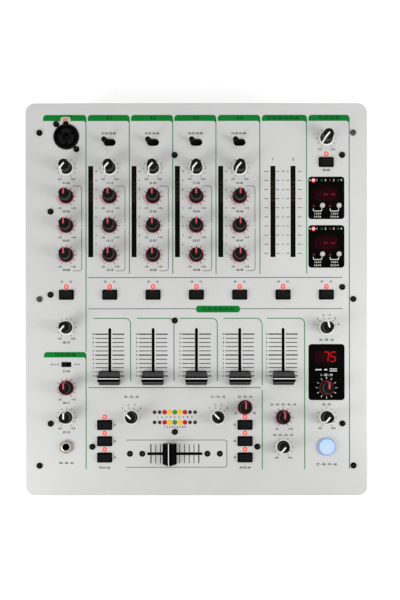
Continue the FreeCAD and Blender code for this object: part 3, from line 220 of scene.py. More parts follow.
def rounded(width: float, depth: float, corner: float, steps: int = 6) -> np.ndarray:
    """Outline of a rectangle with round corners: a quarter circle about each corner's centre in turn.

    Args:
        width: size along X.
        depth: size along Y.
        corner: radius of the corners.
        steps: points on each corner.

    Returns:
        The outline anticlockwise, 4 * steps by 2.
    """
    angle = np.radians(np.arange(4)[:, None] * 90.0 + np.linspace(0.0, 90.0, steps)[None])
    right = np.array((1, -1, -1, 1))[:, None] * (width / 2 - corner)
    rear = np.array((1, 1, -1, -1))[:, None] * (depth / 2 - corner)
    return np.stack((right + corner * np.cos(angle), rear + corner * np.sin(angle)), -1).reshape(-1, 2)


def stacked(outlines: Sequence[np.ndarray], heights: Sequence[float], wear: Sequence[float] | None = None) -> Shell:
    """Carry outlines with the same number of points up through the given heights.

    Args:
        outlines: flat outlines, each m by 2.
        heights: z of each.
        wear: one value for each outline.

    Returns:
        The closed surface.
    """
    flat = np.stack(outlines)
    up = np.broadcast_to(np.array(heights, float)[:, None, None], flat.shape[:2] + (1,))
    return loft(np.concatenate((flat, up), -1), wear)


def slab(outline: np.ndarray, low: float = INK_LOW, high: float = INK_HIGH, edge: float = 0.0) -> Shell:
    """A flat plate of one outline whose upper edge is drawn in towards its middle.

    Args:
        outline: outline of the plate, m by 2.
        low: height of the underside.
        high: height of the upper side.
        edge: how far the upper edge is drawn in.

    Returns:
        The closed surface.
    """
    if edge <= 0:
        return stacked([outline, outline], [low, high])
    reach = outline - outline.mean(0)
    inner = outline.mean(0) + reach * (1 - edge / np.abs(reach).max(0))
    return stacked([outline, outline, inner], [low, high - edge, high])


def sideways(along: np.ndarray, width: np.ndarray | float) -> np.ndarray:
    """Half of a width along the normal of each direction, n by 2."""
    along = along / np.linalg.norm(along, axis=1, keepdims=True)
    return np.stack((-along[:, 1], along[:, 0]), -1) * (np.asarray(width, float).reshape(-1, 1) / 2)


def ribbon(path: np.ndarray, width: float) -> Shell:
    """A band of print along a path: each ring is the path point -+ half the width along its normal.

    Args:
        path: points along the middle, k by 2.
        width: width of the band.

    Returns:
        The closed surface.
    """
    path = np.asarray(path, float)
    side = sideways(np.gradient(path, axis=0), width)
    flat = np.stack((path - side, path + side, path + side, path - side), 1)
    up = np.broadcast_to(np.array((INK_LOW, INK_LOW, INK_HIGH, INK_HIGH))[None, :, None], flat.shape[:2] + (1,))
    return loft(np.concatenate((flat, up), -1))


BOX_FACES = np.array(((0, 3, 2, 1), (4, 5, 6, 7), (0, 1, 5, 4), (1, 2, 6, 5), (2, 3, 7, 6), (3, 0, 4, 7)))


def strips(lines: np.ndarray, width: np.ndarray | float, low: float = INK_LOW, high: float = INK_HIGH) -> Shell:
    """Straight bars of print: the four corners are each line's ends -+ half the width along its normal.

    Args:
        lines: start and end of each bar, n by 4.
        width: one width, or one for each bar.
        low: height of the underside.
        high: height of the upper side.

    Returns:
        All the bars as one shell.
    """
    lines = np.asarray(lines, float).reshape(-1, 4)
    start, end = lines[:, :2], lines[:, 2:]
    side = sideways(end - start, width)
    base = np.stack((start - side, end - side, end + side, start + side), 1)
    tall = np.ones(base.shape[:2] + (1,))
    points = np.concatenate([np.concatenate((base, tall * height), -1) for height in (low, high)], 1)
    faces = BOX_FACES[None] + np.arange(len(lines))[:, None, None] * 8
    return Shell(points.reshape(-1, 3), faces.reshape(-1, 4))


def arc(x: float, y: float, radius: float, start: float, end: float, steps: int = 9) -> np.ndarray:
    """Points on a circle from one angle to another, in degrees anticlockwise from +X."""
    angle = np.radians(np.linspace(start, end, steps))
    return np.stack((x + radius * np.cos(angle), y + radius * np.sin(angle)), -1)


def spokes(x: float, y: float, angles: np.ndarray, inner: float, outer: float) -> np.ndarray:
    """Lines that point away from a centre, at angles in degrees clockwise from the rear.

    Args:
        x: centre.
        y: centre.
        angles: angle of each line.
        inner: distance of its start.
        outer: distance of its end.

    Returns:
        Start and end of each line, n by 4.
    """
    turn = np.radians(np.asarray(angles, float))
    way = np.stack((np.sin(turn), np.cos(turn)), -1)
    return np.hstack((way * inner + (x, y), way * outer + (x, y)))


# Finishes


class Grain(Enum):
    """Pattern of a surface at its own small scale."""

    SPECKLE = "speckle"
    PEEL = "peel"
    BRUSHED = "brushed"
    BANDED = "banded"


def feed(tree: Tree, node: Node, sockets: dict) -> None:
    """Link or set a node's inputs.

    Args:
        tree: the node tree.
        node: the node.
        sockets: inputs by name or number; a value that is a socket is linked.
    """
    for name, value in sockets.items():
        if isinstance(value, Socket):
            tree.links.new(value, node.inputs[name])
        else:
            node.inputs[name].default_value = value


def wire(tree: Tree, kind: str, sockets: dict | None = None, **settings: object) -> Node:
    """Add a node, set its properties, and link or set its inputs.

    Args:
        tree: the node tree.
        kind: Blender's name of the node.
        sockets: inputs by name or number, as for feed.
        settings: properties of the node.

    Returns:
        The node.
    """
    node = tree.nodes.new(kind)
    for name, value in settings.items():
        setattr(node, name, value)
    feed(tree, node, sockets or {})
    return node


def math_node(tree: Tree, operation: str, *values: object) -> Socket:
    """Output of a math node with these inputs in order."""
    return wire(tree, "ShaderNodeMath", dict(enumerate(values)), operation=operation).outputs[0]


def blend(tree: Tree, factor: object, first: object, second: object,
          kind: str = "MIX") -> Socket:
    """Output of a colour mix from first to second."""
    sockets = {0: factor, 6: first, 7: second}
    return wire(tree, "ShaderNodeMix", sockets, data_type="RGBA", blend_type=kind).outputs[2]


def span(tree: Tree, value: object, ends: tuple[float, float, float, float],
         smooth: bool = False) -> Socket:
    """Output of a map range from (low, high) to (low, high)."""
    kind = "SMOOTHSTEP" if smooth else "LINEAR"
    return wire(tree, "ShaderNodeMapRange", dict(enumerate((value, *ends))), interpolation_type=kind).outputs[0]


def group(name: str, inputs: tuple[str, ...], outputs: tuple[str, ...]) -> tuple:
    """Start a shader node group with named number sockets.

    Args:
        name: the group's name.
        inputs: names of its inputs.
        outputs: names of its outputs.

    Returns:
        The tree, its input node and its output node.
    """
    tree = bpy.data.node_groups.new(name, "ShaderNodeTree")
    for labels, way in ((inputs, "INPUT"), (outputs, "OUTPUT")):
        for label in labels:
            tree.interface.new_socket(label, in_out=way, socket_type="NodeSocketFloat")
    return tree, tree.nodes.new("NodeGroupInput"), tree.nodes.new("NodeGroupOutput")


@cache
def grain_group(grain: Grain) -> Tree:
    """Make once the group that gives a fine pattern, its height, and slow clouds over tens of millimetres.

    Args:
        grain: kind of pattern.

    Returns:
        The group, with input Size in millimetres and outputs Value, Height and Cloud.
    """
    tree, given, put = group(f"grain_{grain.value}", ("Size",), ("Value", "Height", "Cloud"))
    place = wire(tree, "ShaderNodeTexCoord").outputs["Object"]
    times = math_node(tree, "DIVIDE", 1.0 / MM, given.outputs["Size"])
    fine = wire(tree, "ShaderNodeVectorMath", {0: place, "Scale": times}, operation="SCALE").outputs[0]
    if grain is Grain.BRUSHED:
        fine = wire(tree, "ShaderNodeVectorMath", {0: fine, 1: (0.03, 1.0, 0.3)}, operation="MULTIPLY").outputs[0]
    noise = wire(tree, "ShaderNodeTexNoise", {"Vector": fine, "Scale": 1.0, "Detail": 4.0, "Roughness": 0.6})
    value = span(tree, noise.outputs[0], (0.3, 0.7, 0.0, 1.0))
    height = value
    if grain is Grain.PEEL:
        cells = wire(tree, "ShaderNodeTexVoronoi", {"Vector": fine, "Scale": 1.0}, feature="SMOOTH_F1")
        height = cells.outputs["Distance"]
    if grain is Grain.BANDED:
        bands = wire(tree, "ShaderNodeTexWave", {"Vector": fine, "Scale": 0.3, "Distortion": 0.4},
                     bands_direction="Z")
        height = bands.outputs[1]
    slow = wire(tree, "ShaderNodeTexNoise", {"Vector": place, "Scale": 22.0, "Detail": 3.0})
    cloud = span(tree, slow.outputs[0], (0.3, 0.7, 0.0, 1.0))
    feed(tree, put, {"Value": value, "Height": height, "Cloud": cloud})
    return tree


class Layer(Enum):
    """What lies over a finish, by the name of its group."""

    DUST = "dust"
    WEAR = "edge_wear_and_sheen"


@cache
def layer_group(layer: Layer) -> Tree:
    """Make once the group of a mask broken up by noise: dust on faces that look up, or edges by their wear and
    painted sheen.

    Args:
        layer: dust, or wear with painted sheen.

    Returns:
        The group, with input Amount and output Mask.
    """
    tree, given, put = group(layer.value, ("Amount",), ("Mask",))
    if layer is Layer.DUST:
        normal = wire(tree, "ShaderNodeNewGeometry").outputs["Normal"]
        up = wire(tree, "ShaderNodeSeparateXYZ", {0: normal}).outputs["Z"]
        level = span(tree, up, (0.3, 0.95, 0.0, 1.0), True)
        scale, detail, roughness, ends = 420.0, 5.0, 0.7, (0.42, 0.75, 0.1, 1.0)
    else:
        level = wire(tree, "ShaderNodeAttribute", attribute_name="wear").outputs["Fac"]
        scale, detail, roughness, ends = 900.0, 4.0, 0.5, (0.35, 0.65, 0.3, 1.0)
    place = wire(tree, "ShaderNodeTexCoord").outputs["Object"]
    noise = wire(tree, "ShaderNodeTexNoise",
                 {"Vector": place, "Scale": scale, "Detail": detail, "Roughness": roughness})
    flecks = span(tree, noise.outputs[0], ends, True)
    mask = math_node(tree, "MULTIPLY", math_node(tree, "MULTIPLY", level, flecks), given.outputs["Amount"])
    feed(tree, put, {"Mask": mask})
    return tree


# Shared by all finishes: dust, how far wear and painted sheen cover an edge, and how far the grain moves the
# roughness
DUST_COLOUR = (0.42, 0.41, 0.39, 1.0)
WEAR_AND_SHEEN_AMOUNT = 0.8
ROUGH_SPREAD = 0.05


@dataclass(frozen=True)
class Finish:
    """A painted, moulded or plated surface.

    Attributes:
        name: name of its material.
        colour: linear base colour.
        roughness: mean roughness.
        grain: kind of fine pattern.
        size: size of one grain, in millimetres.
        contrast: share by which the grain lightens and darkens the colour.
        cloud: share by which slow clouds darken it.
        bump: strength of the relief.
        depth: height of the relief, in millimetres.
        worn: colour of rubbed edges and of painted sheen and highlights, or None.
        dust: amount of dust.
        metallic: metal share.
        coat: weight of a clear coat.
        gloss: specular level.
    """

    name: str
    colour: Triple
    roughness: float
    grain: Grain = Grain.SPECKLE
    size: float = 0.5
    contrast: float = 0.1
    cloud: float = 0.04
    bump: float = 0.15
    depth: float = 0.02
    worn: Triple | None = None
    dust: float = 0.0
    metallic: float = 0.0
    coat: float = 0.0
    gloss: float = 0.5

    def tint(self, share: float) -> tuple[float, float, float, float]:
        """The base colour made lighter or darker by a share of itself."""
        return (*(min(1.0, max(0.0, part * (1 + share))) for part in self.colour), 1.0)

    def material(self) -> bpy.types.Material:
        """The material, made at its first use."""
        return bpy.data.materials.get(self.name) or self.build()

    def layer(self, tree: Tree, kind: Layer, amount: float) -> Socket:
        """Mask of dust, or of wear with painted sheen, in this material."""
        return wire(tree, "ShaderNodeGroup", {"Amount": amount}, node_tree=layer_group(kind)).outputs["Mask"]

    def build(self) -> bpy.types.Material:
        """Wire the material: grain and clouds colour it; wear, which also paints sheen and highlights, and dust lie
        over that; and grain is its relief.

        Returns:
            The new material.
        """
        material = bpy.data.materials.new(self.name)
        material.use_nodes = True
        tree = material.node_tree
        shader = tree.nodes["Principled BSDF"]
        grain = wire(tree, "ShaderNodeGroup", {"Size": self.size}, node_tree=grain_group(self.grain)).outputs
        colour = blend(tree, grain["Value"], self.tint(-self.contrast), self.tint(self.contrast))
        clouded = blend(tree, grain["Cloud"], (1 - self.cloud,) * 3 + (1.0,), (1.0,) * 4)
        colour = blend(tree, 1.0, colour, clouded, "MULTIPLY")
        rough = span(tree, grain["Value"],
                     (0.0, 1.0, self.roughness - ROUGH_SPREAD, self.roughness + ROUGH_SPREAD))
        if self.worn is not None:
            wear = self.layer(tree, Layer.WEAR, WEAR_AND_SHEEN_AMOUNT)
            colour = blend(tree, wear, colour, (*self.worn, 1.0))
            rough = math_node(tree, "MULTIPLY", rough, span(tree, wear, (0.0, 1.0, 1.0, 0.6)))
        if self.dust > 0:
            dust = self.layer(tree, Layer.DUST, self.dust)
            colour = blend(tree, dust, colour, DUST_COLOUR)
            rough = math_node(tree, "MAXIMUM", rough, dust)
        relief = wire(tree, "ShaderNodeBump",
                      {"Strength": self.bump, "Distance": self.depth * MM, "Height": grain["Height"]})
        feed(tree, shader, {"Base Color": colour, "Roughness": rough, "Normal": relief.outputs[0],
                            "Metallic": self.metallic, "Coat Weight": self.coat, "Specular IOR Level": self.gloss})
        self.light(tree, shader)
        return material

    def light(self, tree: Tree, shader: Node) -> None:
        """A plain surface gives no light of its own."""


@dataclass(frozen=True)
class Glow(Finish):
    """A lens that is lit from inside, brightest at its middle.

    Attributes:
        core: light colour at the middle, where the wear attribute is 1.
        rim: light colour at the rim.
        strength: strength of the light.
    """

    core: Triple = (1.0, 1.0, 1.0)
    rim: Triple = (1.0, 0.0, 0.0)
    strength: float = 1.0

    def light(self, tree: Tree, shader: Node) -> None:
        """Let the light fall off from the core to the rim, by the piece's own attribute."""
        middle = wire(tree, "ShaderNodeAttribute", attribute_name="wear").outputs["Fac"]
        colour = blend(tree, middle, (*self.rim, 1.0), (*self.core, 1.0))
        feed(tree, shader, {"Emission Color": colour, "Emission Strength": self.strength})


# Painted, moulded and plated surfaces
SATIN_SILVER = Finish("satin_silver_paint", (0.63, 0.635, 0.625), 0.42, size=0.22, contrast=0.05, cloud=0.05,
                      bump=0.12, depth=0.01, metallic=0.15)
POWDER_COAT = Finish("dark_powder_coat", (0.02, 0.02, 0.021), 0.55, Grain.PEEL, 0.9, 0.18, 0.1, 0.5, 0.08,
                     dust=0.06, gloss=0.3)
# painted sheen: with no gloss, the light worn colour makes a band on the knob sides and lightens the tops
BLACK_KNOB = Finish("black_moulded_knob", (0.005, 0.005, 0.0052), 0.5, size=0.35, contrast=0.25, bump=0.25,
                    worn=(0.15, 0.154, 0.151), dust=0.003, gloss=0.0)
WHITE_TRIM = Finish("white_moulded_trim", (0.92, 0.92, 0.91), 0.45, size=0.4, contrast=0.04)
# painted highlight: the pink worn colour on the skirt's outer edge
RED_SKIRT = Finish("dark_red_moulded_skirt", (0.1, 0.003, 0.009), 0.42, size=0.4, contrast=0.08,
                   worn=(0.6, 0.14, 0.16), gloss=0.15)
RED_TRIM = Finish("red_moulded_trim", (0.58, 0.055, 0.085), 0.42, size=0.4, contrast=0.08)
GREY_CAP = Finish("dark_grey_fader_cap", (0.07, 0.07, 0.071), 0.4, size=0.3, contrast=0.15, bump=0.12,
                  worn=(0.09, 0.09, 0.09), dust=0.006, gloss=0.12)
BLACK_RIDGE = Finish("black_fader_ridge", (0.002, 0.002, 0.0022), 0.6, size=0.3, contrast=0.2, bump=0.12,
                     worn=(0.008, 0.008, 0.008), gloss=0.0)
BLACK_TRACK = Finish("black_oxide_track", (0.006, 0.006, 0.0065), 0.5, Grain.BRUSHED, 0.4, 0.2, gloss=0.1)
# painted sheen: with no gloss, the worn colour lightens the key tops
BLACK_KEY = Finish("black_moulded_key", (0.004, 0.004, 0.004), 0.5, size=0.25, contrast=0.25, bump=0.3,
                   worn=(0.018, 0.018, 0.018), dust=0.002, gloss=0.0)
GREY_KEY = Finish("grey_moulded_key", (0.52, 0.51, 0.49), 0.5, size=0.3, contrast=0.06)
# on the microphone socket the worn colour is a painted highlight on its rim and face ring
BLACK_GLOSS = Finish("black_gloss_moulding", (0.003, 0.003, 0.0033), 0.3, size=0.6, contrast=0.2, bump=0.06,
                     worn=(0.03, 0.03, 0.03), gloss=0.05)
# painted highlight: the worn colour lightens the crown of each black head
BLACK_SCREW = Finish("black_oxide_screw", (0.003, 0.003, 0.0032), 0.4, size=0.2, contrast=0.3, bump=0.2,
                     worn=(0.1, 0.098, 0.095), gloss=0.02)
BARE_SCREW = Finish("rubbed_screw", (0.06, 0.053, 0.045), 0.4, size=0.2, contrast=0.3, bump=0.2,
                    worn=(0.16, 0.145, 0.125), metallic=0.3)
NICKEL = Finish("plated_nickel", (0.62, 0.57, 0.5), 0.24, Grain.BRUSHED, 0.3, 0.1, bump=0.1, metallic=1.0,
                worn=(0.75, 0.7, 0.62))
NICKEL_NUT = Finish("dull_nickel", (0.27, 0.235, 0.19), 0.28, Grain.BRUSHED, 0.3, 0.15, metallic=1.0,
                    worn=(0.55, 0.5, 0.42))
STEEL = Finish("zinc_plated_steel", (0.5, 0.5, 0.49), 0.35, Grain.BRUSHED, 0.4, 0.12, metallic=1.0)
TRANSFORMER = Finish("varnished_laminations", (0.16, 0.15, 0.15), 0.4, Grain.BANDED, 0.5, 0.2, bump=0.4,
                     depth=0.1, metallic=0.5)
BOARD = Finish("green_solder_resist", (0.012, 0.11, 0.04), 0.35, size=1.2, contrast=0.2, bump=0.1, coat=0.3)
PLAIN_BLACK = Finish("black_component_plastic", (0.01, 0.01, 0.01), 0.5, size=0.4, contrast=0.2, gloss=0.2)
RUBBER = Finish("matte_foot_rubber", (0.012, 0.012, 0.012), 0.8, Grain.PEEL, 0.5, 0.25, bump=0.4, depth=0.05,
                worn=(0.05, 0.05, 0.048), dust=0.1, gloss=0.2)
SMOKED = Finish("smoked_acrylic", (0.0012, 0.0012, 0.0013), 0.12, size=1.5, contrast=0.3, bump=0.02, gloss=0.02)
CREAM_LATCH = Finish("cream_latch_tab", (0.56, 0.53, 0.39), 0.4, size=0.4, contrast=0.05)
TAN_LATCH = Finish("tan_latch_tab", (0.5, 0.27, 0.22), 0.4, size=0.4, contrast=0.08)

# Inks; the grey one also paints highlights in the ear recesses of the microphone socket
GREEN_INK = Finish("green_print", (0.002, 0.195, 0.026), 0.5, size=0.3, contrast=0.08, bump=0.05, gloss=0.1)
DARK_GREEN_INK = Finish("dark_green_print", (0.001, 0.04, 0.01), 0.5, size=0.3, gloss=0.1)
GREY_INK_AND_HIGHLIGHT = Finish("grey_print_and_highlight", (0.06, 0.06, 0.059), 0.5, size=0.3, gloss=0.1)
BLACK_INK = Finish("black_print", (0.01, 0.01, 0.011), 0.5, size=0.3, gloss=0.08)
RED_INK = Finish("red_print", (0.6, 0.05, 0.075), 0.5, size=0.3, gloss=0.2)
WHITE_INK = Finish("white_print", (0.72, 0.72, 0.7), 0.5, size=0.3, contrast=0.04)

# Lamps, and their light on what is round them
RED_LAMP = Glow("red_lamp_lens", (0.3, 0.01, 0.01), 0.3, gloss=0.1, core=(0.95, 0.52, 0.46),
                rim=(0.55, 0.035, 0.03), strength=1.1)
LAMP_SPILL = Glow("lamp_light_on_plate", SATIN_SILVER.colour, 0.42, size=0.22, contrast=0.05, cloud=0.05,
                  bump=0.12, depth=0.01, metallic=0.15, core=(0.32, 0.008, 0.006), rim=(0.0, 0.0, 0.0))
KEY_SHINE = Glow("lamp_light_on_key", (0.004, 0.002, 0.002), 0.4, gloss=0.05, core=(0.15, 0.005, 0.003),
                 rim=(0.006, 0.0, 0.0))
TEMPO_RED = Glow("tempo_lens_red", (0.2, 0.006, 0.006), 0.25, gloss=0.1, core=(0.36, 0.008, 0.006),
                 rim=(0.4, 0.01, 0.01), strength=0.9)
TEMPO_AMBER = Glow("tempo_lens_amber", (0.4, 0.25, 0.01), 0.25, gloss=0.2, core=(0.6, 0.42, 0.03),
                   rim=(0.55, 0.36, 0.03), strength=0.8)
TEMPO_GREEN = Glow("tempo_lens_green", (0.03, 0.13, 0.02), 0.25, gloss=0.1, core=(0.05, 0.19, 0.03),
                   rim=(0.05, 0.17, 0.03), strength=0.7)
TEMPO_DARK = Finish("tempo_lens_dark", (0.05, 0.008, 0.01), 0.2, size=0.4, contrast=0.2, gloss=0.2)
BLUE_LENS = Glow("blue_lit_lens", (0.08, 0.12, 0.2), 0.3, gloss=0.2, core=(0.5, 0.66, 0.9),
                 rim=(0.22, 0.29, 0.5), strength=0.95)

# What shows in the windows and meters
LED_CORE = Glow("lit_dot", (0.3, 0.1, 0.1), 0.3, gloss=0.05, core=(1.0, 0.8, 0.75), rim=(0.95, 0.3, 0.26))
LED_OFF_RED = Finish("unlit_red_dot", (0.09, 0.018, 0.03), 0.3, size=0.3, gloss=0.1)
LED_OFF_GREEN = Finish("unlit_green_dot", (0.012, 0.085, 0.035), 0.3, size=0.3, gloss=0.1)
DIGIT_RED = Glow("red_digit", (0.2, 0.0, 0.0), 0.3, gloss=0.1, core=(0.75, 0.02, 0.02),
                 rim=(0.5, 0.008, 0.008), strength=0.8)
DIGIT_OFF = Finish("unlit_digit", (0.022, 0.002, 0.003), 0.3, size=0.4, gloss=0.03)
DASH_RED = Glow("dim_digit", (0.1, 0.01, 0.015), 0.3, gloss=0.03, core=(0.13, 0.006, 0.01),
                rim=(0.12, 0.005, 0.008), strength=0.8)
RED_FILM = Glow("red_display_film", (0.0015, 0.0012, 0.0012), 0.3, size=0.8, contrast=0.3, gloss=0.02,
                core=(0.014, 0.0006, 0.0012), rim=(0.0008, 0.0, 0.0))
RED_HALO = Glow("red_lit_film", (0.02, 0.0, 0.0), 0.3, gloss=0.02, core=(0.8, 0.06, 0.05), rim=(0.05, 0.001, 0.001))
DIM_HALO = Glow("dim_lit_film", (0.005, 0.0, 0.0), 0.3, gloss=0.02, core=(0.06, 0.0, 0.001), rim=(0.008, 0.0, 0.0))
GREEN_HALO = Glow("green_lit_film", (0.001, 0.002, 0.001), 0.3, gloss=0.02, core=(0.002, 0.025, 0.009),
                  rim=(0.0, 0.002, 0.001))
BAR_GREEN = Finish("unlit_bar_green", (0.002, 0.0035, 0.0025), 0.3, gloss=0.03)
BAR_AMBER = Finish("unlit_bar_amber", (0.016, 0.012, 0.006), 0.3, gloss=0.03)
BAR_RED = Finish("unlit_bar_red", (0.006, 0.004, 0.003), 0.3, gloss=0.03)

# Nodes whose own shape shows, with their finishes
CARRIED = {"face_plate": SATIN_SILVER, "chassis_tray": POWDER_COAT, "display_windows": SMOKED,
           "control_board": BOARD, "board_spacers": STEEL, "control_bodies": PLAIN_BLACK,
           "fader_tracks": BLACK_TRACK, "power_supply": TRANSFORMER}

# Angle in degrees above which an edge is sharp
CREASE = 32.0
Parts = list[tuple[Finish, Shell]]


def put_piece(name: str, body: str, parts: Parts, stands_for: tuple[str, ...] = (),
              place: Triple = (0.0, 0.0, 0.0), turn: np.ndarray | None = None) -> None:
    """Make one piece, its object at the origin, riding on a body of the frame.

    Args:
        name: name of the piece.
        body: body that it moves with.
        parts: finish and closed surface of each of its parts.
        stands_for: nodes that it replaces.
        place: where the parts' own origin goes.
        turn: matrix of a turn before that.
    """
    finishes = list(dict.fromkeys(finish for finish, shell in parts))
    shells = [shell.at(*place, turn) for finish, shell in parts]
    sizes = np.array([len(shell.points) for shell in shells])
    steps = np.concatenate(([0], np.cumsum(sizes)[:-1]))
    points = np.vstack([shell.points for shell in shells]) * MM
    faces = np.vstack([shell.faces + step for shell, step in zip(shells, steps)])
    number = np.concatenate([np.full(len(shell.faces), finishes.index(finish)) for finish, shell in parts])
    wear = np.concatenate([np.zeros(len(shell.points)) if shell.wear is None else shell.wear for shell in shells])
    three = faces[:, 2] == faces[:, 3]
    keep = np.ones(faces.shape, bool)
    keep[three, 3] = False
    starts = np.concatenate(([0], np.cumsum(np.where(three, 3, 4))[:-1]))
    mesh = bpy.data.meshes.new(name)
    mesh.vertices.add(len(points))
    mesh.vertices.foreach_set("co", points.astype(np.float32).ravel())
    mesh.loops.add(int(keep.sum()))
    mesh.loops.foreach_set("vertex_index", faces[keep].astype(np.int32))
    mesh.polygons.add(len(faces))
    mesh.polygons.foreach_set("loop_start", starts.astype(np.int32))
    mesh.polygons.foreach_set("material_index", number.astype(np.int32))
    mesh.polygons.foreach_set("use_smooth", np.ones(len(faces), bool))
    mesh.update(calc_edges=True)
    mesh.set_sharp_from_angle(angle=math.radians(CREASE))
    mesh.attributes.new("wear", "FLOAT", "POINT").data.foreach_set("value", wear.astype(np.float32))
    for finish in finishes:
        mesh.materials.append(finish.material())
    piece = bpy.data.objects.new(name, mesh)
    bpy.context.scene.collection.objects.link(piece)
    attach(piece, body)
    if stands_for:
        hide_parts(*stands_for)
    LOG.info("%s: %d faces on %s", name, len(faces), body)


def put_control(name: str, parts: Parts, place: Triple = (0.0, 0.0, 0.0),
                turn: np.ndarray | None = None) -> None:
    """Make the piece of a moving control, which stands for the node of the same name as its body."""
    put_piece(f"{name}.dressed", name, parts, (name,), place, turn)


def dress(node: str, finish: Finish) -> None:
    """Give a carried-over node its finish.

    Args:
        node: name of the node.
        finish: its finish.
    """
    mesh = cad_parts[node].data
    mesh.materials.clear()
    mesh.materials.append(finish.material())
    LOG.info("%s: %s", node, finish.name)


# Knobs


class Scale(Enum):
    """Kinds of scale that are printed round a knob."""

    LEVEL = "level"
    TONE = "tone"
    FOUR_STOPS = "four_stops"
    SIX_STOPS = "six_stops"
    NONE = "none"


@dataclass
class Knob:
    """A fluted knob with a skirt and a pointer that runs over its edge, on its shaft.

    Attributes:
        name: name of its node and body.
        x: place of its axis.
        y: place of its axis.
        angle: pointer at rest, in degrees clockwise from the rear.
        red: whether skirt and pointer are red.
        scale: print round it.
        number: plain number printed under it, or none.
    """

    name: str
    x: float
    y: float
    angle: float
    red: bool
    scale: Scale
    number: str = ""

    SKIRT = 6.9
    BASE = 5.95
    CROWN = 4.6
    FOOT = 1.7
    TOP = 16.2
    FLUTES = 18

    def build(self) -> None:
        """Make the cap, skirt, pointer and shaft as one piece."""
        # on a red skirt the lighter values give its outer edge a pink painted highlight
        skirt = turned([(3.4, 0.6), (self.SKIRT - 0.3, 0.6), (self.SKIRT, 0.85), (self.SKIRT, 1.45),
                        (self.SKIRT - 0.25, 1.8), (self.BASE - 0.1, 1.9), (3.4, 1.9)], 64,
                       (0, 0.2, 0.5, 0.5, 0.15, 0, 0))
        shaft = turned([(1.0, -13.3), (2.8, -13.3), (3.0, -13.0), (3.0, 1.8), (1.0, 1.8)], 24)
        below, above = (RED_SKIRT, RED_TRIM) if self.red else (WHITE_TRIM, WHITE_TRIM)
        parts = [(BLACK_KNOB, self.cap()), (below, skirt), (above, self.pointer()), (NICKEL, shaft)]
        put_control(self.name, parts, (self.x, self.y, PLATE), about(Axis.Z, -self.angle))

    def cap(self) -> Shell:
        """Tapered side with flutes that run out at its crown, and a dished top; the side carries a band of painted
        sheen that fades to painted shade at its foot, and the top is a little lighter as rubbed plastic with a
        painted sheen.

        Returns:
            The cap on the knob's own axis.
        """
        rise = np.linspace(0.0, 1.0, 9)
        side = [(self.BASE + (self.CROWN - self.BASE) * part, self.FOOT + 13.5 * part) for part in rise]
        crown = [(self.CROWN - 0.18, 15.72), (self.CROWN - 0.45, 16.0), (self.CROWN - 0.85, self.TOP),
                 (self.CROWN - 1.5, self.TOP - 0.05), (1.5, self.TOP - 0.28), (0.4, self.TOP - 0.32)]
        depth = (0.0, *np.interp(rise, (0, 0.12, 0.9, 1), (0.1, 0.55, 0.5, 0.32)), 0.18, 0.05, 0, 0, 0, 0)
        # painted sheen along the fluted side, fading to painted shade at its foot; the top is lighter as rubbing
        # and painted sheen
        worn = (0.0, *np.sin(math.pi * rise ** 1.5) ** 2, 0.02, 0.04, 0.06, 0.08, 0.1, 0.1)
        return turned([(3.0, self.FOOT), *side, *crown], 108, worn, False, depth, self.FLUTES)

    def pointer(self) -> Shell:
        """Raised line: a flat bar whose path goes along the top, over the edge and down the side to the skirt.

        Returns:
            The pointer on the knob's own axis, towards the rear.
        """
        along = (-1.0, 0.0, 3.0, 3.8, 4.45, 4.68, 5.2, 5.9)
        up = (15.95, 15.95, 16.12, 16.2, 15.75, 15.1, 9.5, 2.3)
        lift = np.array(((0.0, 0.28), (0.0, 0.28), (0.02, 0.28), (0.1, 0.26), (0.26, 0.14), (0.3, 0.05),
                         (0.3, 0.03), (0.3, 0.03)))
        half = np.array((0.6, 0.7, 0.75, 0.75, 0.75, 0.75, 0.75, 0.75))
        path = np.stack((along, up), -1)
        deep, high = path - 1.6 * lift, path + lift
        corners = ((-1, deep), (1, deep), (1, high), (-1, high))
        return loft(np.stack([np.column_stack((sign * half, edge)) for sign, edge in corners], 1))


def knob_list() -> list[Knob]:
    """List every knob of the mixer, with its place, pointer at rest, colour and scale.

    Returns:
        The knobs.
    """
    knobs = []
    for row, (name, x) in enumerate(zip(("mic", "channel_1", "channel_2", "channel_3", "channel_4"), COLUMNS)):
        knobs.append(Knob(f"{name}_trim_knob", x, TRIM_Y, -140, False, Scale.LEVEL, f"{row}1-{row}5"))
        for tone, y, number in (("high", HIGH_Y, 2), ("mid", MID_Y, 3), ("low", LOW_Y, 4)):
            knobs.append(Knob(f"{name}_{tone}_knob", x, y, 0, True, Scale.TONE, f"{row}{number}-{row}{number + 4}"))
    return knobs + [
        Knob("surround_knob", EFFECTS_X, 150.2, -140, False, Scale.LEVEL),
        Knob("talk_knob", MIC_X, TALK_Y, -140, False, Scale.LEVEL, "05-10"),
        Knob("monitor_mix_knob", MIC_X, MIX_Y, 0, True, Scale.TONE, "06-11"),
        Knob("monitor_level_knob", MIC_X, ASSIGN_Y, 0, False, Scale.LEVEL, "07-12"),
        Knob("assign_a_knob", ASSIGN_X[0], ASSIGN_Y, -45, False, Scale.FOUR_STOPS),
        Knob("assign_b_knob", ASSIGN_X[1], ASSIGN_Y, -45, False, Scale.FOUR_STOPS),
        Knob("curve_knob", KILL_X[1], -101.1, 0, True, Scale.NONE),
        Knob("balance_knob", MASTER_X, ASSIGN_Y, 0, True, Scale.TONE),
        Knob("booth_knob", MASTER_X, PHONES_Y, -140, False, Scale.LEVEL),
        Knob("source_knob", EFFECTS_X, TALK_Y, -15, False, Scale.SIX_STOPS),
        Knob("program_knob", EFFECTS_X, MIX_Y, 0, True, Scale.NONE),
        Knob("effects_level_knob", EFFECTS_X, ASSIGN_Y, -140, False, Scale.LEVEL)]


# Print


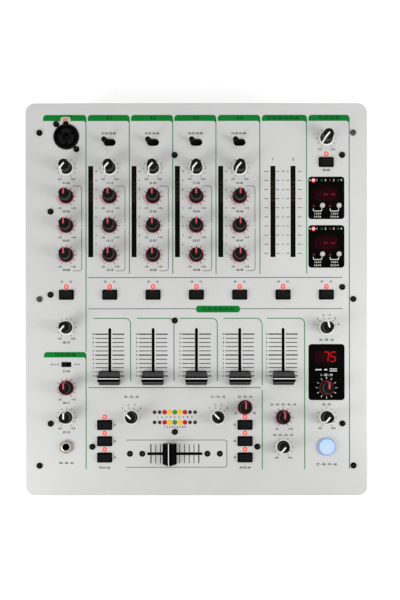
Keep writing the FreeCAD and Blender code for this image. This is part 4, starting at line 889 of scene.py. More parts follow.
@dataclass
class Numerals:
    """Plain numbers for print, cut from Blender's own letters and then placed as arrays.

    Attributes:
        cap: height of a numeral in units of the letter size.
        bold: how far the strokes are fattened.
        made: the shells cut so far, one unit high, by number.
    """

    cap: float = 0.7
    bold: float = 0.025
    made: dict[str, Shell] = field(default_factory=dict)

    def cut(self, word: str) -> Shell:
        """Turn a number into triangles between z = 0 and 1, centred on its place.

        Args:
            word: the number.

        Returns:
            Its shell, which is kept.
        """
        if word not in self.made:
            curve = bpy.data.curves.new("numeral", "FONT")
            curve.body, curve.extrude, curve.resolution_u, curve.offset = word, 0.5, 2, self.bold
            curve.align_x, curve.align_y = "CENTER", "CENTER"
            sign = bpy.data.objects.new("numeral", curve)
            bpy.context.scene.collection.objects.link(sign)
            mesh = bpy.data.meshes.new_from_object(sign.evaluated_get(bpy.context.evaluated_depsgraph_get()))
            self.made[word] = self.arrays(mesh)
            bpy.data.objects.remove(sign)
            bpy.data.curves.remove(curve)
            bpy.data.meshes.remove(mesh)
        return self.made[word]

    def arrays(self, mesh: bpy.types.Mesh) -> Shell:
        """Merge a letter mesh's seams and read it as arrays.

        Args:
            mesh: the letters as Blender filled them.

        Returns:
            The shell, its numerals one unit high.
        """
        work = bmesh.new()
        work.from_mesh(mesh)
        bmesh.ops.remove_doubles(work, verts=work.verts, dist=1e-5)
        bmesh.ops.triangulate(work, faces=work.faces)
        bmesh.ops.recalc_face_normals(work, faces=work.faces)
        work.to_mesh(mesh)
        work.free()
        points = np.zeros(len(mesh.vertices) * 3)
        mesh.vertices.foreach_get("co", points)
        corners = np.zeros(len(mesh.loops), np.int32)
        mesh.loops.foreach_get("vertex_index", corners)
        points = points.reshape(-1, 3) / (self.cap, self.cap, 1.0) + (0.0, 0.0, 0.5)
        return Shell(points, corners.reshape(-1, 3)[:, [0, 1, 2, 2]])

    def place(self, word: str, height: float, x: float, y: float, low: float = INK_LOW,
              high: float = INK_HIGH) -> Shell:
        """A number of a height, flat on a surface, centred on x and y.

        Args:
            word: the number.
            height: height of its numerals.
            x: centre.
            y: centre.
            low: underside.
            high: upper side.

        Returns:
            The placed shell.
        """
        shell = self.cut(word)
        return replace(shell, points=shell.points * (height, height, high - low) + (x, y, low))


NUMERALS = Numerals()


@dataclass
class PlatePrint:
    """All print on the face plate, one piece for each ink.

    Attributes:
        thin: width of fine ticks.
        line: width of the ruled lines.
        rule: width of the green rules.
        corner: radius of the heading bars' upper corners.
    """

    thin: float = 0.45
    line: float = 0.6
    rule: float = 0.75
    corner: float = 3.2

    LEVELS = np.linspace(-32.7, -71.8, 11)
    METER_ROWS = np.linspace(119.4, 42.7, 10)
    CROSS_STEP = 4.47
    CAPTION, HEADING, HEADING_Y = 2.0, 2.8, 169.4
    BARS = ((-143.2, -102.7), (-101.5, -62.2), (-61.1, -21.6), (-20.5, 18.8), (20.0, 59.8), (61.3, 103.5),
            (104.8, 143.3))
    UPRIGHTS = ((-103.1, 163.8, -49.4), (-103.1, -57.0, -158.7), (-62.6, 163.8, 23.7), (-22.0, 163.8, 23.7),
                (18.4, 163.8, 23.7), (59.4, 163.8, 23.7), (103.1, 163.8, 23.7), (142.9, 163.8, -158.7),
                (61.4, -23.1, -80.4), (61.4, -84.8, -158.7), (101.1, -23.1, -158.7))
    LABELS = (("50 - 52 - 54", ASSIGN_X[0], -91.3), ("51 - 53 - 55", ASSIGN_X[1], -91.3),
              ("52 - 54 - 56", KILL_X[1], -91.3), ("53 - 54 - 55 - 56 - 57", MASTER_X, -98.6),
              ("54 - 55 - 56 - 57", MASTER_X, -127.1), ("55 - 59", EFFECTS_X, -98.6),
              ("56 - 58 - 60", EFFECTS_X, -38.1), ("57 - 58 - 59 - 60", EFFECTS_X, -154.5),
              ("58 - 60 - 62", MIC_X, -153.0), ("59-61-63", KILL_X[0], -157.4), ("60-62-64", KILL_X[1], -157.4),
              ("61-65", MIC_X, -67.3), ("64-68", EFFECTS_X, 120.5), ("01", KILL_X[1] - 8.6, -107.0),
              ("02", KILL_X[1] + 8.8, -106.6), *(("10-20 30-40", x - 1.0, 155.0) for x in CHANNELS))

    def build(self, knobs: list[Knob]) -> None:
        """Print the inks in turn.

        Args:
            knobs: knobs whose scales are printed.
        """
        red, dark = self.knob_scales(knobs)
        for name, ink, shells in (("print_green", GREEN_INK, self.green()),
                                  ("print_dark_green", DARK_GREEN_INK, self.headings()),
                                  ("print_grey", GREY_INK_AND_HIGHLIGHT, self.grey()),
                                  ("print_black", BLACK_INK, dark + self.black()),
                                  ("print_red", RED_INK, red)):
            put_piece(name, "case", [(ink, shell) for shell in shells])

    def header(self, left: float, right: float, low: float, high: float) -> list[Shell]:
        """A green heading bar with round upper corners whose right end runs down into its rule.

        Args:
            left: left end.
            right: right end.
            low: lower edge.
            high: upper edge.

        Returns:
            The bar and the tail at its right end.
        """
        middle = high - self.corner
        outline = np.vstack((arc(right - self.corner, middle, self.corner, 0, 90),
                             arc(left + self.corner, middle, self.corner, 90, 180),
                             ((left, low), ((left + right) / 2, low), (right, low))))
        tail = np.array(((right, low), (right - 2.4, low), (right - 1.2, low - 0.7), (right - self.rule, low - 2.6),
                         (right, low - 2.6)))
        return [slab(outline), slab(tail)]

    def green(self) -> list[Shell]:
        """Heading bars, ruled lines, fader frames and the plain label block.

        Returns:
            The shells in green ink.
        """
        shells = [part for left, right in self.BARS for part in self.header(left, right, 166.6, 172.3)]
        shells += self.header(-142.5, -102.7, -54.4, -49.3)
        shells.append(strips([(x, top, x, low) for x, top, low in self.UPRIGHTS], self.rule))
        for x, right in zip(FADERS, (*(x + 19.5 for x in CHANNELS[:3]), CHANNELS[3] + 20.5, 101.1)):
            path = np.vstack((((x - 15.2, -17.9), (x, -17.9)), arc(right - 5, -22.9, 5, 90, 0)))
            side = ((right, -76.7),) if x in CHANNELS[:3] else np.empty((0, 2))
            shells.append(ribbon(np.vstack((path, side)), self.rule))
        shells.append(slab(rounded(41.1, 6.3, 2.5) + (20.2, -9.3), high=INK_HIGH + 0.02))
        return shells

    def headings(self) -> list[Shell]:
        """Plain numbers in the heading bars and in the label block.

        Returns:
            The shells in dark green ink.
        """
        low, high = INK_HIGH - SUNK, PLATE + INK * 1.6
        words = [(f"0-{k}", x, self.HEADING_Y, high) for k, x in enumerate(CHANNELS, 1)]
        words += [("10-20-30-40-50-60", MASTER_X, self.HEADING_Y, high),
                  ("10-20-30-40", EFFECTS_X + 2.5, self.HEADING_Y, high), ("10-20-30-40", MIC_X - 1.0, -51.9, high),
                  ("10-20-30-40-50-60", 20.2, -9.3, high + 0.03)]
        return [NUMERALS.place(word, self.HEADING, x, y, low, top) for word, x, y, top in words]

    def levels(self, heights: np.ndarray, left: tuple[float, float], right: tuple[float, float]) -> list[tuple]:
        """Lines on both sides of every fader slot, each side given by its ends."""
        return [(x + a, y, x + b, y) for x in FADERS for y in heights for a, b in (left, right)]

    def across(self, steps: Sequence[int]) -> list[tuple]:
        """Lines in front of and behind the crossfader's slot, at numbered steps from its middle."""
        return [(CROSS_X + self.CROSS_STEP * k, CROSS_Y + a, CROSS_X + self.CROSS_STEP * k, CROSS_Y + b)
                for k in steps for a, b in ((1.5, 8.95), (-8.95, -1.5))]

    def grey(self) -> list[Shell]:
        """Ruled lines, tone brackets, fine fader lines and the crossfader's frame.

        Returns:
            The shells in grey ink.
        """
        fine = self.LEVELS[np.arange(len(self.LEVELS)) % 5 > 0]
        box = np.vstack((((-66.0, -131.6), (25.8, -131.6)), arc(26.3, -133.6, 2.0, 90, 0), ((28.3, -155.0),),
                         arc(26.3, -155.0, 2.0, 0, -90), ((-66.0, -157.0),)))
        shells = [strips([(-101, 20.2, 136.4, 20.2), (-101, -9.0, -0.6, -9.0), (41.0, -9.0, 136.5, -9.0),
                          (-101.1, -82.6, 60.2, -82.6)], self.line),
                  strips(self.levels(fine, (-13.3, -1.6), (2.5, 13.2)), 0.8),
                  strips(self.across(range(-4, 5)), 0.75), ribbon(box, 0.55)]
        for x in COLUMNS[:5]:
            upper = np.vstack((((x + 6.2, 105.8), (x + 11.8, 105.8)), arc(x + 11.8, 103.3, 2.5, 90, 0),
                               ((x + 14.3, 71.2),)))
            lower = np.vstack((((x + 14.3, 66.2),), arc(x + 11.8, 29.0, 2.5, 0, -90), ((x + 6.2, 26.5),)))
            shells += [ribbon(upper, 0.5), ribbon(lower, 0.5), NUMERALS.place("3", 1.6, x + 14.3, 68.7)]
        return shells

    def knob_scales(self, knobs: list[Knob]) -> tuple[list[Shell], list[Shell]]:
        """Ticks and end numbers round the knobs.

        Args:
            knobs: the knobs.

        Returns:
            The shells in red ink and those in black ink.
        """
        red, dark, words = [], [], []
        for knob in knobs:
            x, y = knob.x, knob.y
            around = np.arange(-150, 151, 30)
            if knob.scale is Scale.TONE:
                around = np.append(around, (-135, -105))
                red.append(strips(spokes(x, y, around, 7.0, 8.4), 0.65))
                dark.append(strips(spokes(x, y, around, 8.4, 9.4), self.thin))
                words += [("-10", 1.9, x - 6.4, y - 11.0), ("+10", 1.9, x + 6.7, y - 11.0)]
            elif knob.scale is Scale.LEVEL:
                dark.append(strips(spokes(x, y, around, 7.9, 9.4), self.thin))
                words += [("0.0", 1.8, x - 6.1, y - 10.4), ("10.0", 1.8, x + 6.1, y - 10.4)]
            elif knob.scale is not Scale.NONE:
                half = 45 if knob.scale is Scale.FOUR_STOPS else 75
                stops = np.arange(-half, half + 1, 30)
                dark.append(strips(spokes(x, y, stops, 7.9, 9.6), self.thin))
                words += [(str(k), 1.8, *spot) for k, spot in enumerate(spokes(x, y, stops, 0.0, 11.9)[:, 2:], 1)]
            if knob.number:
                words.append((knob.number, self.CAPTION, x, y - 14.0))
        return red, dark + [NUMERALS.place(*word) for word in words]

    def black(self) -> list[Shell]:
        """Fader scales, meter scales, crossfader ends and the numbers by keys and switches.

        Returns:
            The shells in black ink.
        """
        ticks = [(MASTER_X + a, y, MASTER_X + b, y) for y in self.METER_ROWS
                 for a, b in ((-17.4, -13.7), (-6.7, -3.4), (3.0, 6.0), (13.6, 17.4))]
        words = [(str(10 - k), 1.7, x - 15.4, y) for x in FADERS for k, y in enumerate(self.LEVELS)]
        words += [(str(10 - k), 1.6, x, y) for x in (*(x - 12.7 for x in CHANNELS), MASTER_X)
                  for k, y in enumerate(self.METER_ROWS)]
        words += [("1", 2.4, MASTER_X - 9.4, 130.8), ("2", 2.4, MASTER_X + 9.4, 130.8)]
        words += [(word, 1.8, x + side, 16.3) for k, x in enumerate(COLUMNS, 1)
                  for word, side in ((f"0{k}", -4.2), ("10", 3.9))]
        words += [(str(k), height, CROSS_X + step * (k - 5), y) for k in range(1, 10)
                  for y, step, height in ((-110.3, 4.0, 1.7), (-119.5, 2.4, 1.9))]
        words += [(f"0{k}", 1.7, x, y) for x in (KILL_X[0] + 9.6, KILL_X[1] - 9.6) for k, y in enumerate(KILL_Y, 1)]
        words += [("10-11-12", 1.6, MIC_X - 11.0, MODE_Y), ("13-14", 1.6, MIC_X + 9.8, MODE_Y)]
        words += [(word, self.CAPTION, x, y) for word, x, y in self.LABELS]
        return [strips(self.levels(self.LEVELS[::5], (-13.5, -1.6), (2.5, 13.7)), 1.1),
                strips(self.across((-5, 5)), 1.05), strips(ticks, 0.5), *(NUMERALS.place(*word) for word in words)]


# Other moving controls


@dataclass
class FaderCap:
    """A fader cap with scooped sides and a white line along its ridge, on its lever.

    Attributes:
        name: name of its node and body.
        x: place of the lever.
        y: place of the lever.
        across: whether it runs across the mixer.
        lean: how far the cap's foot sits behind its line.
    """

    name: str
    x: float
    y: float
    across: bool = False
    lean: float = 0.8

    LENGTH = 20.5
    HALF = 6.45
    RIDGE = 2.0
    TAPER = 0.065

    def section(self) -> np.ndarray:
        """Half section mirrored: foot, side, and a scoop that eases up to the ridge.

        Returns:
            (across, height) points anticlockwise.
        """
        scoop = np.linspace(0.0, 1.0, 7)
        width = self.HALF - 0.25 + (self.RIDGE + 0.1 - self.HALF + 0.25) * scoop
        height = 4.4 + 4.8 * scoop ** 1.5
        right = np.vstack((((self.HALF - 0.3, 0.8), (self.HALF, 1.1), (self.HALF, 4.0)),
                           np.stack((width, height), -1), ((self.RIDGE - 0.6, 9.5),)))
        return np.vstack((right, right[::-1] * (-1, 1)))

    def cap(self) -> Shell:
        """The section carried along the cap: drawn in to its middle at the ends, and shorter away from the ridge.

        Returns:
            The cap about its lever.
        """
        half, middle = self.LENGTH / 2, np.array((0.0, 5.0))
        end = half - np.array((0.0, 0.12, 0.5, 2.0))
        stations = np.concatenate((-end, (0.0,), end[::-1]))
        inset = np.array((0.93, 0.975, 1, 1, 1, 1, 1, 0.975, 0.93))
        flat = middle + (self.section() - middle)[None] * inset[:, None, None]
        drawn = 1 - self.TAPER * np.clip((np.abs(flat[..., :1]) - self.RIDGE) / (self.HALF - self.RIDGE), 0, 1)
        rings = np.concatenate((stations[:, None, None] * drawn, flat), -1)
        return loft(rings, (0.4, 0.7, 0.1, 0, 0, 0, 0.1, 0.7, 0.4)).at(0, self.lean)

    def build(self) -> None:
        """Make the cap, the white line and the lever as one piece."""
        crest = [rounded(self.LENGTH - inset, 2 * self.RIDGE + 1.0 - inset, 0.4, 4) - (0, 0.5)
                 for inset in (0.0, 0.0, 0.12, 0.5)]
        band = rounded(self.LENGTH * (1 - self.TAPER) - 0.3, 1.2, 0.3, 3)
        parts = [(BLACK_KNOB if self.across else GREY_CAP, self.cap()),
                 (WHITE_TRIM, slab(rounded(self.LENGTH - 0.4, 0.72, 0.2, 3), 10.2, 11.06, 0.05)),
                 (BLACK_TRACK, slab(rounded(1.2, 4.0, 0.3, 3), -12.7, 3.0)),
                 (PLAIN_BLACK, slab(rounded(4.4, 7.0, 0.4, 3), -12.7, -9.7, 0.3)),
                 (BLACK_RIDGE, stacked(crest, (7.6, 10.4, 10.8, 10.95), (0.0, 0.1, 0.5, 0.0))),
                 *((BLACK_RIDGE, slab(band + (0, side * (self.HALF - 0.6) + self.lean), 1.0, 5.0, 0.25))
                   for side in (-1, 1))]
        turn = about(Axis.Z, 90 if self.across else 0)
        put_control(self.name, parts, (self.x, self.y, PLATE), turn)


def fader_list() -> list[FaderCap]:
    """The four channel faders, the master fader and the crossfader."""
    names = [f"channel_{k}_fader" for k in range(1, 5)] + ["master_fader"]
    caps = [FaderCap(name, x, FADER_REST_Y) for name, x in zip(names, FADERS)]
    return caps + [FaderCap("crossfader", CROSS_X - 5.5, CROSS_Y, True, -0.8)]


@dataclass
class KeyBank:
    """Rectangular keys with dished tops that share one body.

    Attributes:
        name: name of their node and body.
        spots: (x, y) of each key.
        shine: whether the lamp behind each key shows on its rear slope.
    """

    name: str
    spots: tuple[Spot, ...]
    shine: bool = False

    WIDTH = 13.5
    DEPTH = 8.8

    def build(self) -> None:
        """Carry outlines from the stem through the lip and the cap to the dished top, and copy the key."""
        circle = arc(0, 0, 1.7, 0, 360 * 23 / 24, 24)
        lip = rounded(self.WIDTH + 2, self.DEPTH + 2, 1.0)
        rim = [rounded(self.WIDTH - 2 * d, self.DEPTH - 2 * d, max(0.3, 1.0 - 0.4 * d))
               for d in (0, 0, 0.3, 0.85, 1.15, 1.4, 1.8, 2.6, 3.6)]
        # the top outlines take the worn colour: a painted sheen on the key tops
        key = stacked([circle * 0.8, circle, circle, lip, lip, *rim],
                      (-11.2, -11.0, -4.3, -4.3, -3.3, -3.3, 0.6, 1.6, 2.75, 2.96, 3.0, 2.93, 2.8, 2.75),
                      (0, 0, 0, 0, 0, 0, 0, 0, 0.3, 0.7, 0.9, 1, 1, 1))
        places = at_height(self.spots)
        parts = [(BLACK_KEY, key.copies(places))]
        if self.shine:
            patch = turned([(0.2, -0.5), (3.6, -0.5), (3.6, 0.0), (2.4, 0.2), (1.2, 0.3), (0.2, 0.33)], 24,
                           (0, 0, 0, 0.45, 0.9, 1.0)).stretched(1, 0.36)
            slope = patch.at(0, self.DEPTH / 2 - 0.75, 2.1, about(Axis.X, -58))
            parts.append((KEY_SHINE, slope.copies(places)))
        put_control(self.name, parts)


@dataclass
class RoundKeys:
    """The small display keys and the large lit effects button.

    Attributes:
        small: (x, y) of the display keys.
        edge: radius of their round edges.
    """

    small: tuple[Spot, ...] = tuple((x, y) for y in (87.5, 42.1) for x in (117.9, 133.4))
    edge: float = 0.45

    def profile(self, radius: float, rise: float, dish: float) -> list[Spot]:
        """Stem, lip, side, round edge and dished or crowned top of a round key.

        Args:
            radius: radius of the key.
            rise: height of its edge over the plate.
            dish: depth of its dish.

        Returns:
            The (radius, height) points.
        """
        return [(0.5, -11.2), (1.7, -11.2), (1.7, -4.3), (radius + 1, -4.3), (radius + 1, -3.3), (radius, -3.3),
                (radius, rise - self.edge), (radius - 0.13, rise - 0.13), (radius - self.edge, rise),
                (radius * 0.88, rise - dish * 0.1), (radius * 0.855, rise - dish * 0.2),
                (radius * 0.35, rise - dish), (0.2, rise - dish)]

    def build(self) -> None:
        """Make both kinds; the lit button's glow is fullest over its middle."""
        key = turned(self.profile(2.35, 0.9, 0.12), 32)
        put_control("display_keys", [(GREY_KEY, key.copies(at_height(self.small)))])
        lens = turned(self.profile(8.15, 3.0, 0.25), 64, (0, 0, 0, 0, 0, 0, 0, 0, 0, 0.05, 0.95, 1.0, 1.0))
        put_control("effects_button", [(BLUE_LENS, lens)], (EFFECTS_X, PHONES_Y, PLATE))


@dataclass
class Toggle:
    """A bat lever on its pivot, thrown to the left.

    Attributes:
        name: name of its node and body.
        x: place of the pivot.
    """

    name: str
    x: float

    Y = 146.8
    PIVOT = PLATE - 9.0
    TILT = -13.0

    def build(self) -> None:
        """Turn the bat, its hub and its pin, and tip them about the pivot."""
        bat = turned([(0.6, 0.0), (1.8, 0.2), (2.1, 4.0), (2.35, 10.0), (2.55, 16.5), (2.55, 18.2), (2.4, 19.2),
                      (2.0, 19.75), (1.3, 19.98), (0.4, 20.0)], 32, (0, 0, 0, 0, 0, 0, 0.1, 0.15, 0.05, 0))
        hub = turned([(0.5, -2.0), (2.8, -2.0), (3.0, -1.8), (3.0, 1.8), (2.8, 2.0), (0.5, 2.0)], 32)
        pin = turned([(0.4, -4.4), (1.1, -4.4), (1.2, -4.3), (1.2, 4.3), (1.1, 4.4), (0.4, 4.4)], 20)
        side = about(Axis.X, 90)
        parts = [(BLACK_KNOB, bat), (BLACK_KNOB, hub.at(turn=side)), (STEEL, pin.at(turn=side))]
        put_control(self.name, parts, (self.x, self.Y, self.PIVOT), about(Axis.Y, self.TILT))


@dataclass
class SmallSwitches:
    """The monitor mode slider and the mains rocker.

    Attributes:
        ribs: ribs on the slider's grip.
        grip: length of the grip.
        half: half its width.
        tilt: angle of the rocker, in degrees.
    """

    ribs: int = 4
    grip: float = 4.4
    half: float = 1.95
    tilt: float = 9.0

    def slider(self) -> None:
        """A ribbed slider: the height of its grip is a wave along the travel, on a shoe and a foot."""
        along = np.linspace(-self.grip / 2, self.grip / 2, 45)
        wave = 1.05 - 0.28 * (0.5 + 0.5 * np.cos(2 * math.pi * self.ribs * along / self.grip)) ** 2
        edge, base = self.half - 0.15, np.full(45, -3.3)
        rings = np.stack([np.stack((along, np.full(45, y), z), -1) for y, z in
                          ((-self.half, base), (self.half, base), (self.half, wave - 0.15), (edge, wave),
                           (-edge, wave), (-self.half, wave - 0.15))], 1)
        shells = (loft(rings), slab(rounded(13.2, 6.7, 0.5, 4), -4.3, -3.3, 0.2),
                  slab(rounded(3.0, 2.4, 0.3, 4), -7.1, -4.3))
        put_control("mode_slider", [(BLACK_GLOSS, shell) for shell in shells],
                    (MIC_X - 2.0, MODE_Y, PLATE))

    def rocker(self) -> None:
        """A rocker: a dished face carried across its width between its two ends, with its pins and marks."""
        height = np.linspace(-5.3, 5.3, 17)
        face = 1.0 + 1.2 * (np.abs(height) / 5.3) ** 1.6
        section = np.vstack((np.stack((face, height), -1), ((-3.0, 2.4), (-3.0, -2.4))))
        flat = section[None] * np.array((0.95, 1.0, 1.0, 0.95))[:, None, None]
        along = np.broadcast_to(np.array((-8.5, -8.2, 8.2, 8.5))[:, None, None], flat.shape[:2] + (1,))
        pins = turned([(0.3, -10.4), (1.0, -10.4), (1.0, 10.4), (0.3, 10.4)], 20)
        ring = turned([(1.25, 0.0), (1.6, 0.0), (1.6, 0.2), (1.25, 0.2)], 24, closed=True)
        bar = slab(rounded(0.5, 2.8, 0.1, 3), 0.0, 0.2)
        parts = [(BLACK_GLOSS, loft(np.concatenate((along, flat), -1))),
                 (BLACK_GLOSS, pins.at(turn=about(Axis.Y, 90))),
                 (WHITE_INK, ring.at(0, 1.6, -3.3, about(Axis.X, -75))),
                 (WHITE_INK, bar.at(0, 1.6, 3.3, about(Axis.X, -105)))]
        put_control("power_rocker", parts, (MAINS_X, REAR_WALL - 1.5, SWITCH_Z),
                    about(Axis.X, self.tilt))

    def build(self) -> None:
        """Make both switches."""
        self.slider()
        self.rocker()


# Fixed fittings


def polar(radius: Sequence[float], sides: int) -> tuple[np.ndarray, np.ndarray]:
    """Grids of x = r cos a and y = r sin a: one row for each radius, one column for each angle."""
    angle = np.linspace(0.0, 2 * math.pi, sides, endpoint=False)
    return np.outer(radius, np.cos(angle)), np.outer(radius, np.sin(angle))


@dataclass
class Screws:
    """Black pan head screws with a cross recess.

    Attributes:
        radius: head radius.
        tall: height of the ordinary heads.
        flat: height of the heads under the crossfader cap.
        deep: depth of the recess in the ordinary heads.
    """

    radius: float = 2.85
    tall: float = 1.9
    flat: float = 0.6
    deep: float = 0.95

    RUBBED = ((-146.6, 0.0), (146.6, 155.5))
    CASE = ((-146.6, 155.5), (-146.6, -155.5), (146.6, 0.0), (146.6, -155.5))
    BOARD = ((-136.3, METER_Y), (-136.3, CUE_Y), (-136.3, -116.25), (136.3, 134.7), (136.3, 11.2), (136.3, -116.25),
             (CROSS_X, 134.7), (CROSS_X, -19.95), (CROSS_X, -124.05), (-97.25, PHONES_Y), (56.75, PHONES_Y))
    STRIP = tuple((CROSS_X + reach, CROSS_Y) for reach in (-42.0, -30.4, 30.4, 42.0))
    MICROPHONE = ((-130.9, 163.7), (-112.1, 140.3))

    def head(self, height: float, depth: float, length: float, turn: float) -> Shell:
        """Head as a height over a polar grid: a dome less a cross whose arms fade at their ends.

        Args:
            height: height of the dome.
            depth: depth of the recess.
            length: length of the shank.
            turn: angle of the recess, in degrees.

        Returns:
            The screw with its seat at z = 0.
        """
        radius = np.concatenate(((1.45, 1.45, self.radius - 0.1, self.radius), np.linspace(self.radius, 0.08, 20)))
        dome = height * (1 - np.clip(radius / self.radius, 0, 1) ** 5) ** 0.5
        dome[:4] = (-length, 0.0, 0.0, 0.06)
        x, y = polar(radius, 48)
        arm = np.maximum(*(np.clip((0.5 - np.abs(a)) / 0.16, 0, 1) * np.clip((1.75 - np.abs(b)) / 0.3, 0, 1)
                           for a, b in ((x, y), (y, x))))
        z = dome[:, None] - np.where(np.arange(24)[:, None] > 5, depth * arm, 0.0)
        # lighter towards the crown: a painted highlight on the black heads, rubbing on the bare ones
        worn = np.concatenate((np.zeros(12), np.linspace(0.1, 1.0, 12)))
        return loft(np.dstack((x, y, z)), worn).at(turn=about(Axis.Z, turn))

    def build(self) -> None:
        """Copy the heads to their places, each row with its own turn of the recess."""
        rows = ((BLACK_SCREW, self.CASE, self.tall, self.deep, 8, 20),
                (BLACK_SCREW, self.BOARD, self.tall, self.deep, 10, 55),
                (BLACK_SCREW, self.STRIP, self.flat, 0.4, 5.5, 10),
                (BLACK_SCREW, self.MICROPHONE, self.tall, self.deep, 8, 35),
                (BARE_SCREW, self.RUBBED, self.tall, self.deep, 8, 40))
        parts = [(finish, self.head(*sizes).copies(at_height(spots))) for finish, spots, *sizes in rows]
        put_piece("panel_screws.dressed", "case", parts, ("panel_screws",))


@dataclass
class TopSockets:
    """The microphone combination socket with its latch, and the phones jack with its nut.

    Attributes:
        radius: outer radius of the microphone socket.
        face: height of its inner face over the plate.
        y: place of its axis.
        ears: places of its screw ears.
    """

    radius: float = 11.9
    face: float = 0.2
    y: float = 152.0
    ears: tuple[Spot, ...] = ((-9.4, 11.7), (9.4, -11.7))

    def shell(self) -> Shell:
        """Shell turned from its rim; its face is a height over a polar grid with a jack bore and three pin holes.

        Returns:
            The shell on its own axis.
        """
        rings = np.concatenate((np.linspace(10.5, 9.6, 4), np.linspace(9.5, 4.6, 36), np.linspace(4.5, 2.4, 14),
                                (1.5, 0.3)))
        x, y = polar(rings, 144)
        out = rings[:, None]
        z = np.full(x.shape, self.face) - 0.5 * np.clip((out - 9.2) / 0.8, 0, 1)
        z -= 4.0 * np.clip((0.75 - np.abs(out - 8.7)) / 0.25, 0, 1)
        for way in np.radians((60, 180, 300)):
            far = np.hypot(x - 6.6 * math.sin(way), y - 6.6 * math.cos(way))
            z -= 6.0 * np.clip((1.6 - far) / 0.25, 0, 1)
        collar = np.clip(1 - np.abs(out - 4.1) / 0.5, 0, 1)
        z += 0.25 * collar - 10.0 * np.clip((3.3 - out) / 0.25, 0, 1)
        rim = np.array(((10.9, -26.0), (self.radius, -26.0), (self.radius, 0.5), (11.75, 0.95), (11.4, 1.2),
                        (10.9, 1.15), (10.6, 0.6)))
        side = np.dstack((*polar(rim[:, 0], 144), np.repeat(rim[:, 1:], 144, 1)))
        # the rim and the face ring between radii 4.4 and 7.8 are lighter: a painted highlight
        worn = np.concatenate(((0, 0, 0.0, 0.3, 0.5, 0.4, 0), 0.25 * (rings < 7.8) * (rings > 4.4)))
        return loft(np.concatenate((side, np.dstack((x, y, z)))), worn)

    def microphone(self) -> None:
        """The socket's shell with its ears and a grey cross on each, a painted highlight in the cross recess,
        flange, spring and two-part latch.
        """
        ear = turned([(0.3, 0.0), (2.7, 0.0), (2.7, 0.3), (2.45, 0.55), (0.3, 0.6)], 32)
        # grey crosses on the ears: painted highlights in their cross recesses
        painted_slot_highlights = [strips([(a - 1.1, b - side * 1.1, a + 1.1, b + side * 1.1)], 0.7, 0.3, 0.64 + 0.01 * side)
                 for a, b in self.ears for side in (-1, 1)]
        parts = [(BLACK_GLOSS, self.shell()), (BLACK_GLOSS, ear.copies(at_height(self.ears, 0.0))),
                 *((GREY_INK_AND_HIGHLIGHT, slot) for slot in painted_slot_highlights),
                 (BLACK_GLOSS, slab(rounded(26.0, 31.0, 2.0), -5.5, -3.0)),
                 (BLACK_GLOSS, slab(rounded(4.8, 4.4, 1.2) + (-0.4, 12.0), 0.0, 1.3, 0.3)),
                 (CREAM_LATCH, slab(rounded(9.6, 5.2, 2.5) + (-0.6, 15.7), 0.0, 1.0, 0.35)),
                 (TAN_LATCH, slab(rounded(5.2, 3.6, 1.6) + (-0.6, 15.3), 0.5, 1.1, 0.08))]
        put_piece("microphone_socket", "case", parts, ("sockets",), (MIC_X, self.y, PLATE))

    def phones(self) -> None:
        """Hexagon nut with turned-down corners, threaded bush and dark bore: the nut's radius is the hexagon's."""
        angle = np.linspace(0.0, 2 * math.pi, 72, endpoint=False)
        flat = 5.75 / np.cos((angle + math.pi / 6) % (math.pi / 3) - math.pi / 6)
        most, height = np.array(((6.0, 0.0), (9.0, 0.0), (9.0, 1.7), (6.2, 2.2), (5.4, 2.2), (4.55, 2.2),
                                 (4.55, 0.0))).T[..., None]
        reach = np.minimum(flat, most)
        nut = loft(np.dstack((reach * np.cos(angle), reach * np.sin(angle), np.repeat(height, 72, 1))),
                   (0, 0, 0.4, 0.9, 0.5, 0, 0), True)
        thread = [(4.5 if k % 2 else 4.25, 0.2 + 0.25 * k) for k in range(11)]
        bush = turned([(3.3, -3.0), (4.3, -3.0), *thread, (4.3, 3.1), (4.05, 3.2), (3.5, 3.2), (3.3, 3.0)], 48,
                      closed=True)
        lining = turned([(3.25, -20.6), (0.4, -20.6), (0.4, -21.0), (3.3, -21.0), (3.3, 2.6), (3.25, 2.6)], 40,
                        closed=True)
        body = turned([(3.4, -3.05), (7.0, -3.05), (7.0, -24.0), (3.4, -24.0)], 4, closed=True)
        parts = [(NICKEL_NUT, nut), (NICKEL, bush), (BLACK_GLOSS, lining),
                 (PLAIN_BLACK, body.at(turn=about(Axis.Z, 45)))]
        put_piece("phones_jack", "case", parts, ("sockets",), (MIC_X, PHONES_Y, PLATE))

    def build(self) -> None:
        """Make both sockets."""
        self.microphone()
        self.phones()


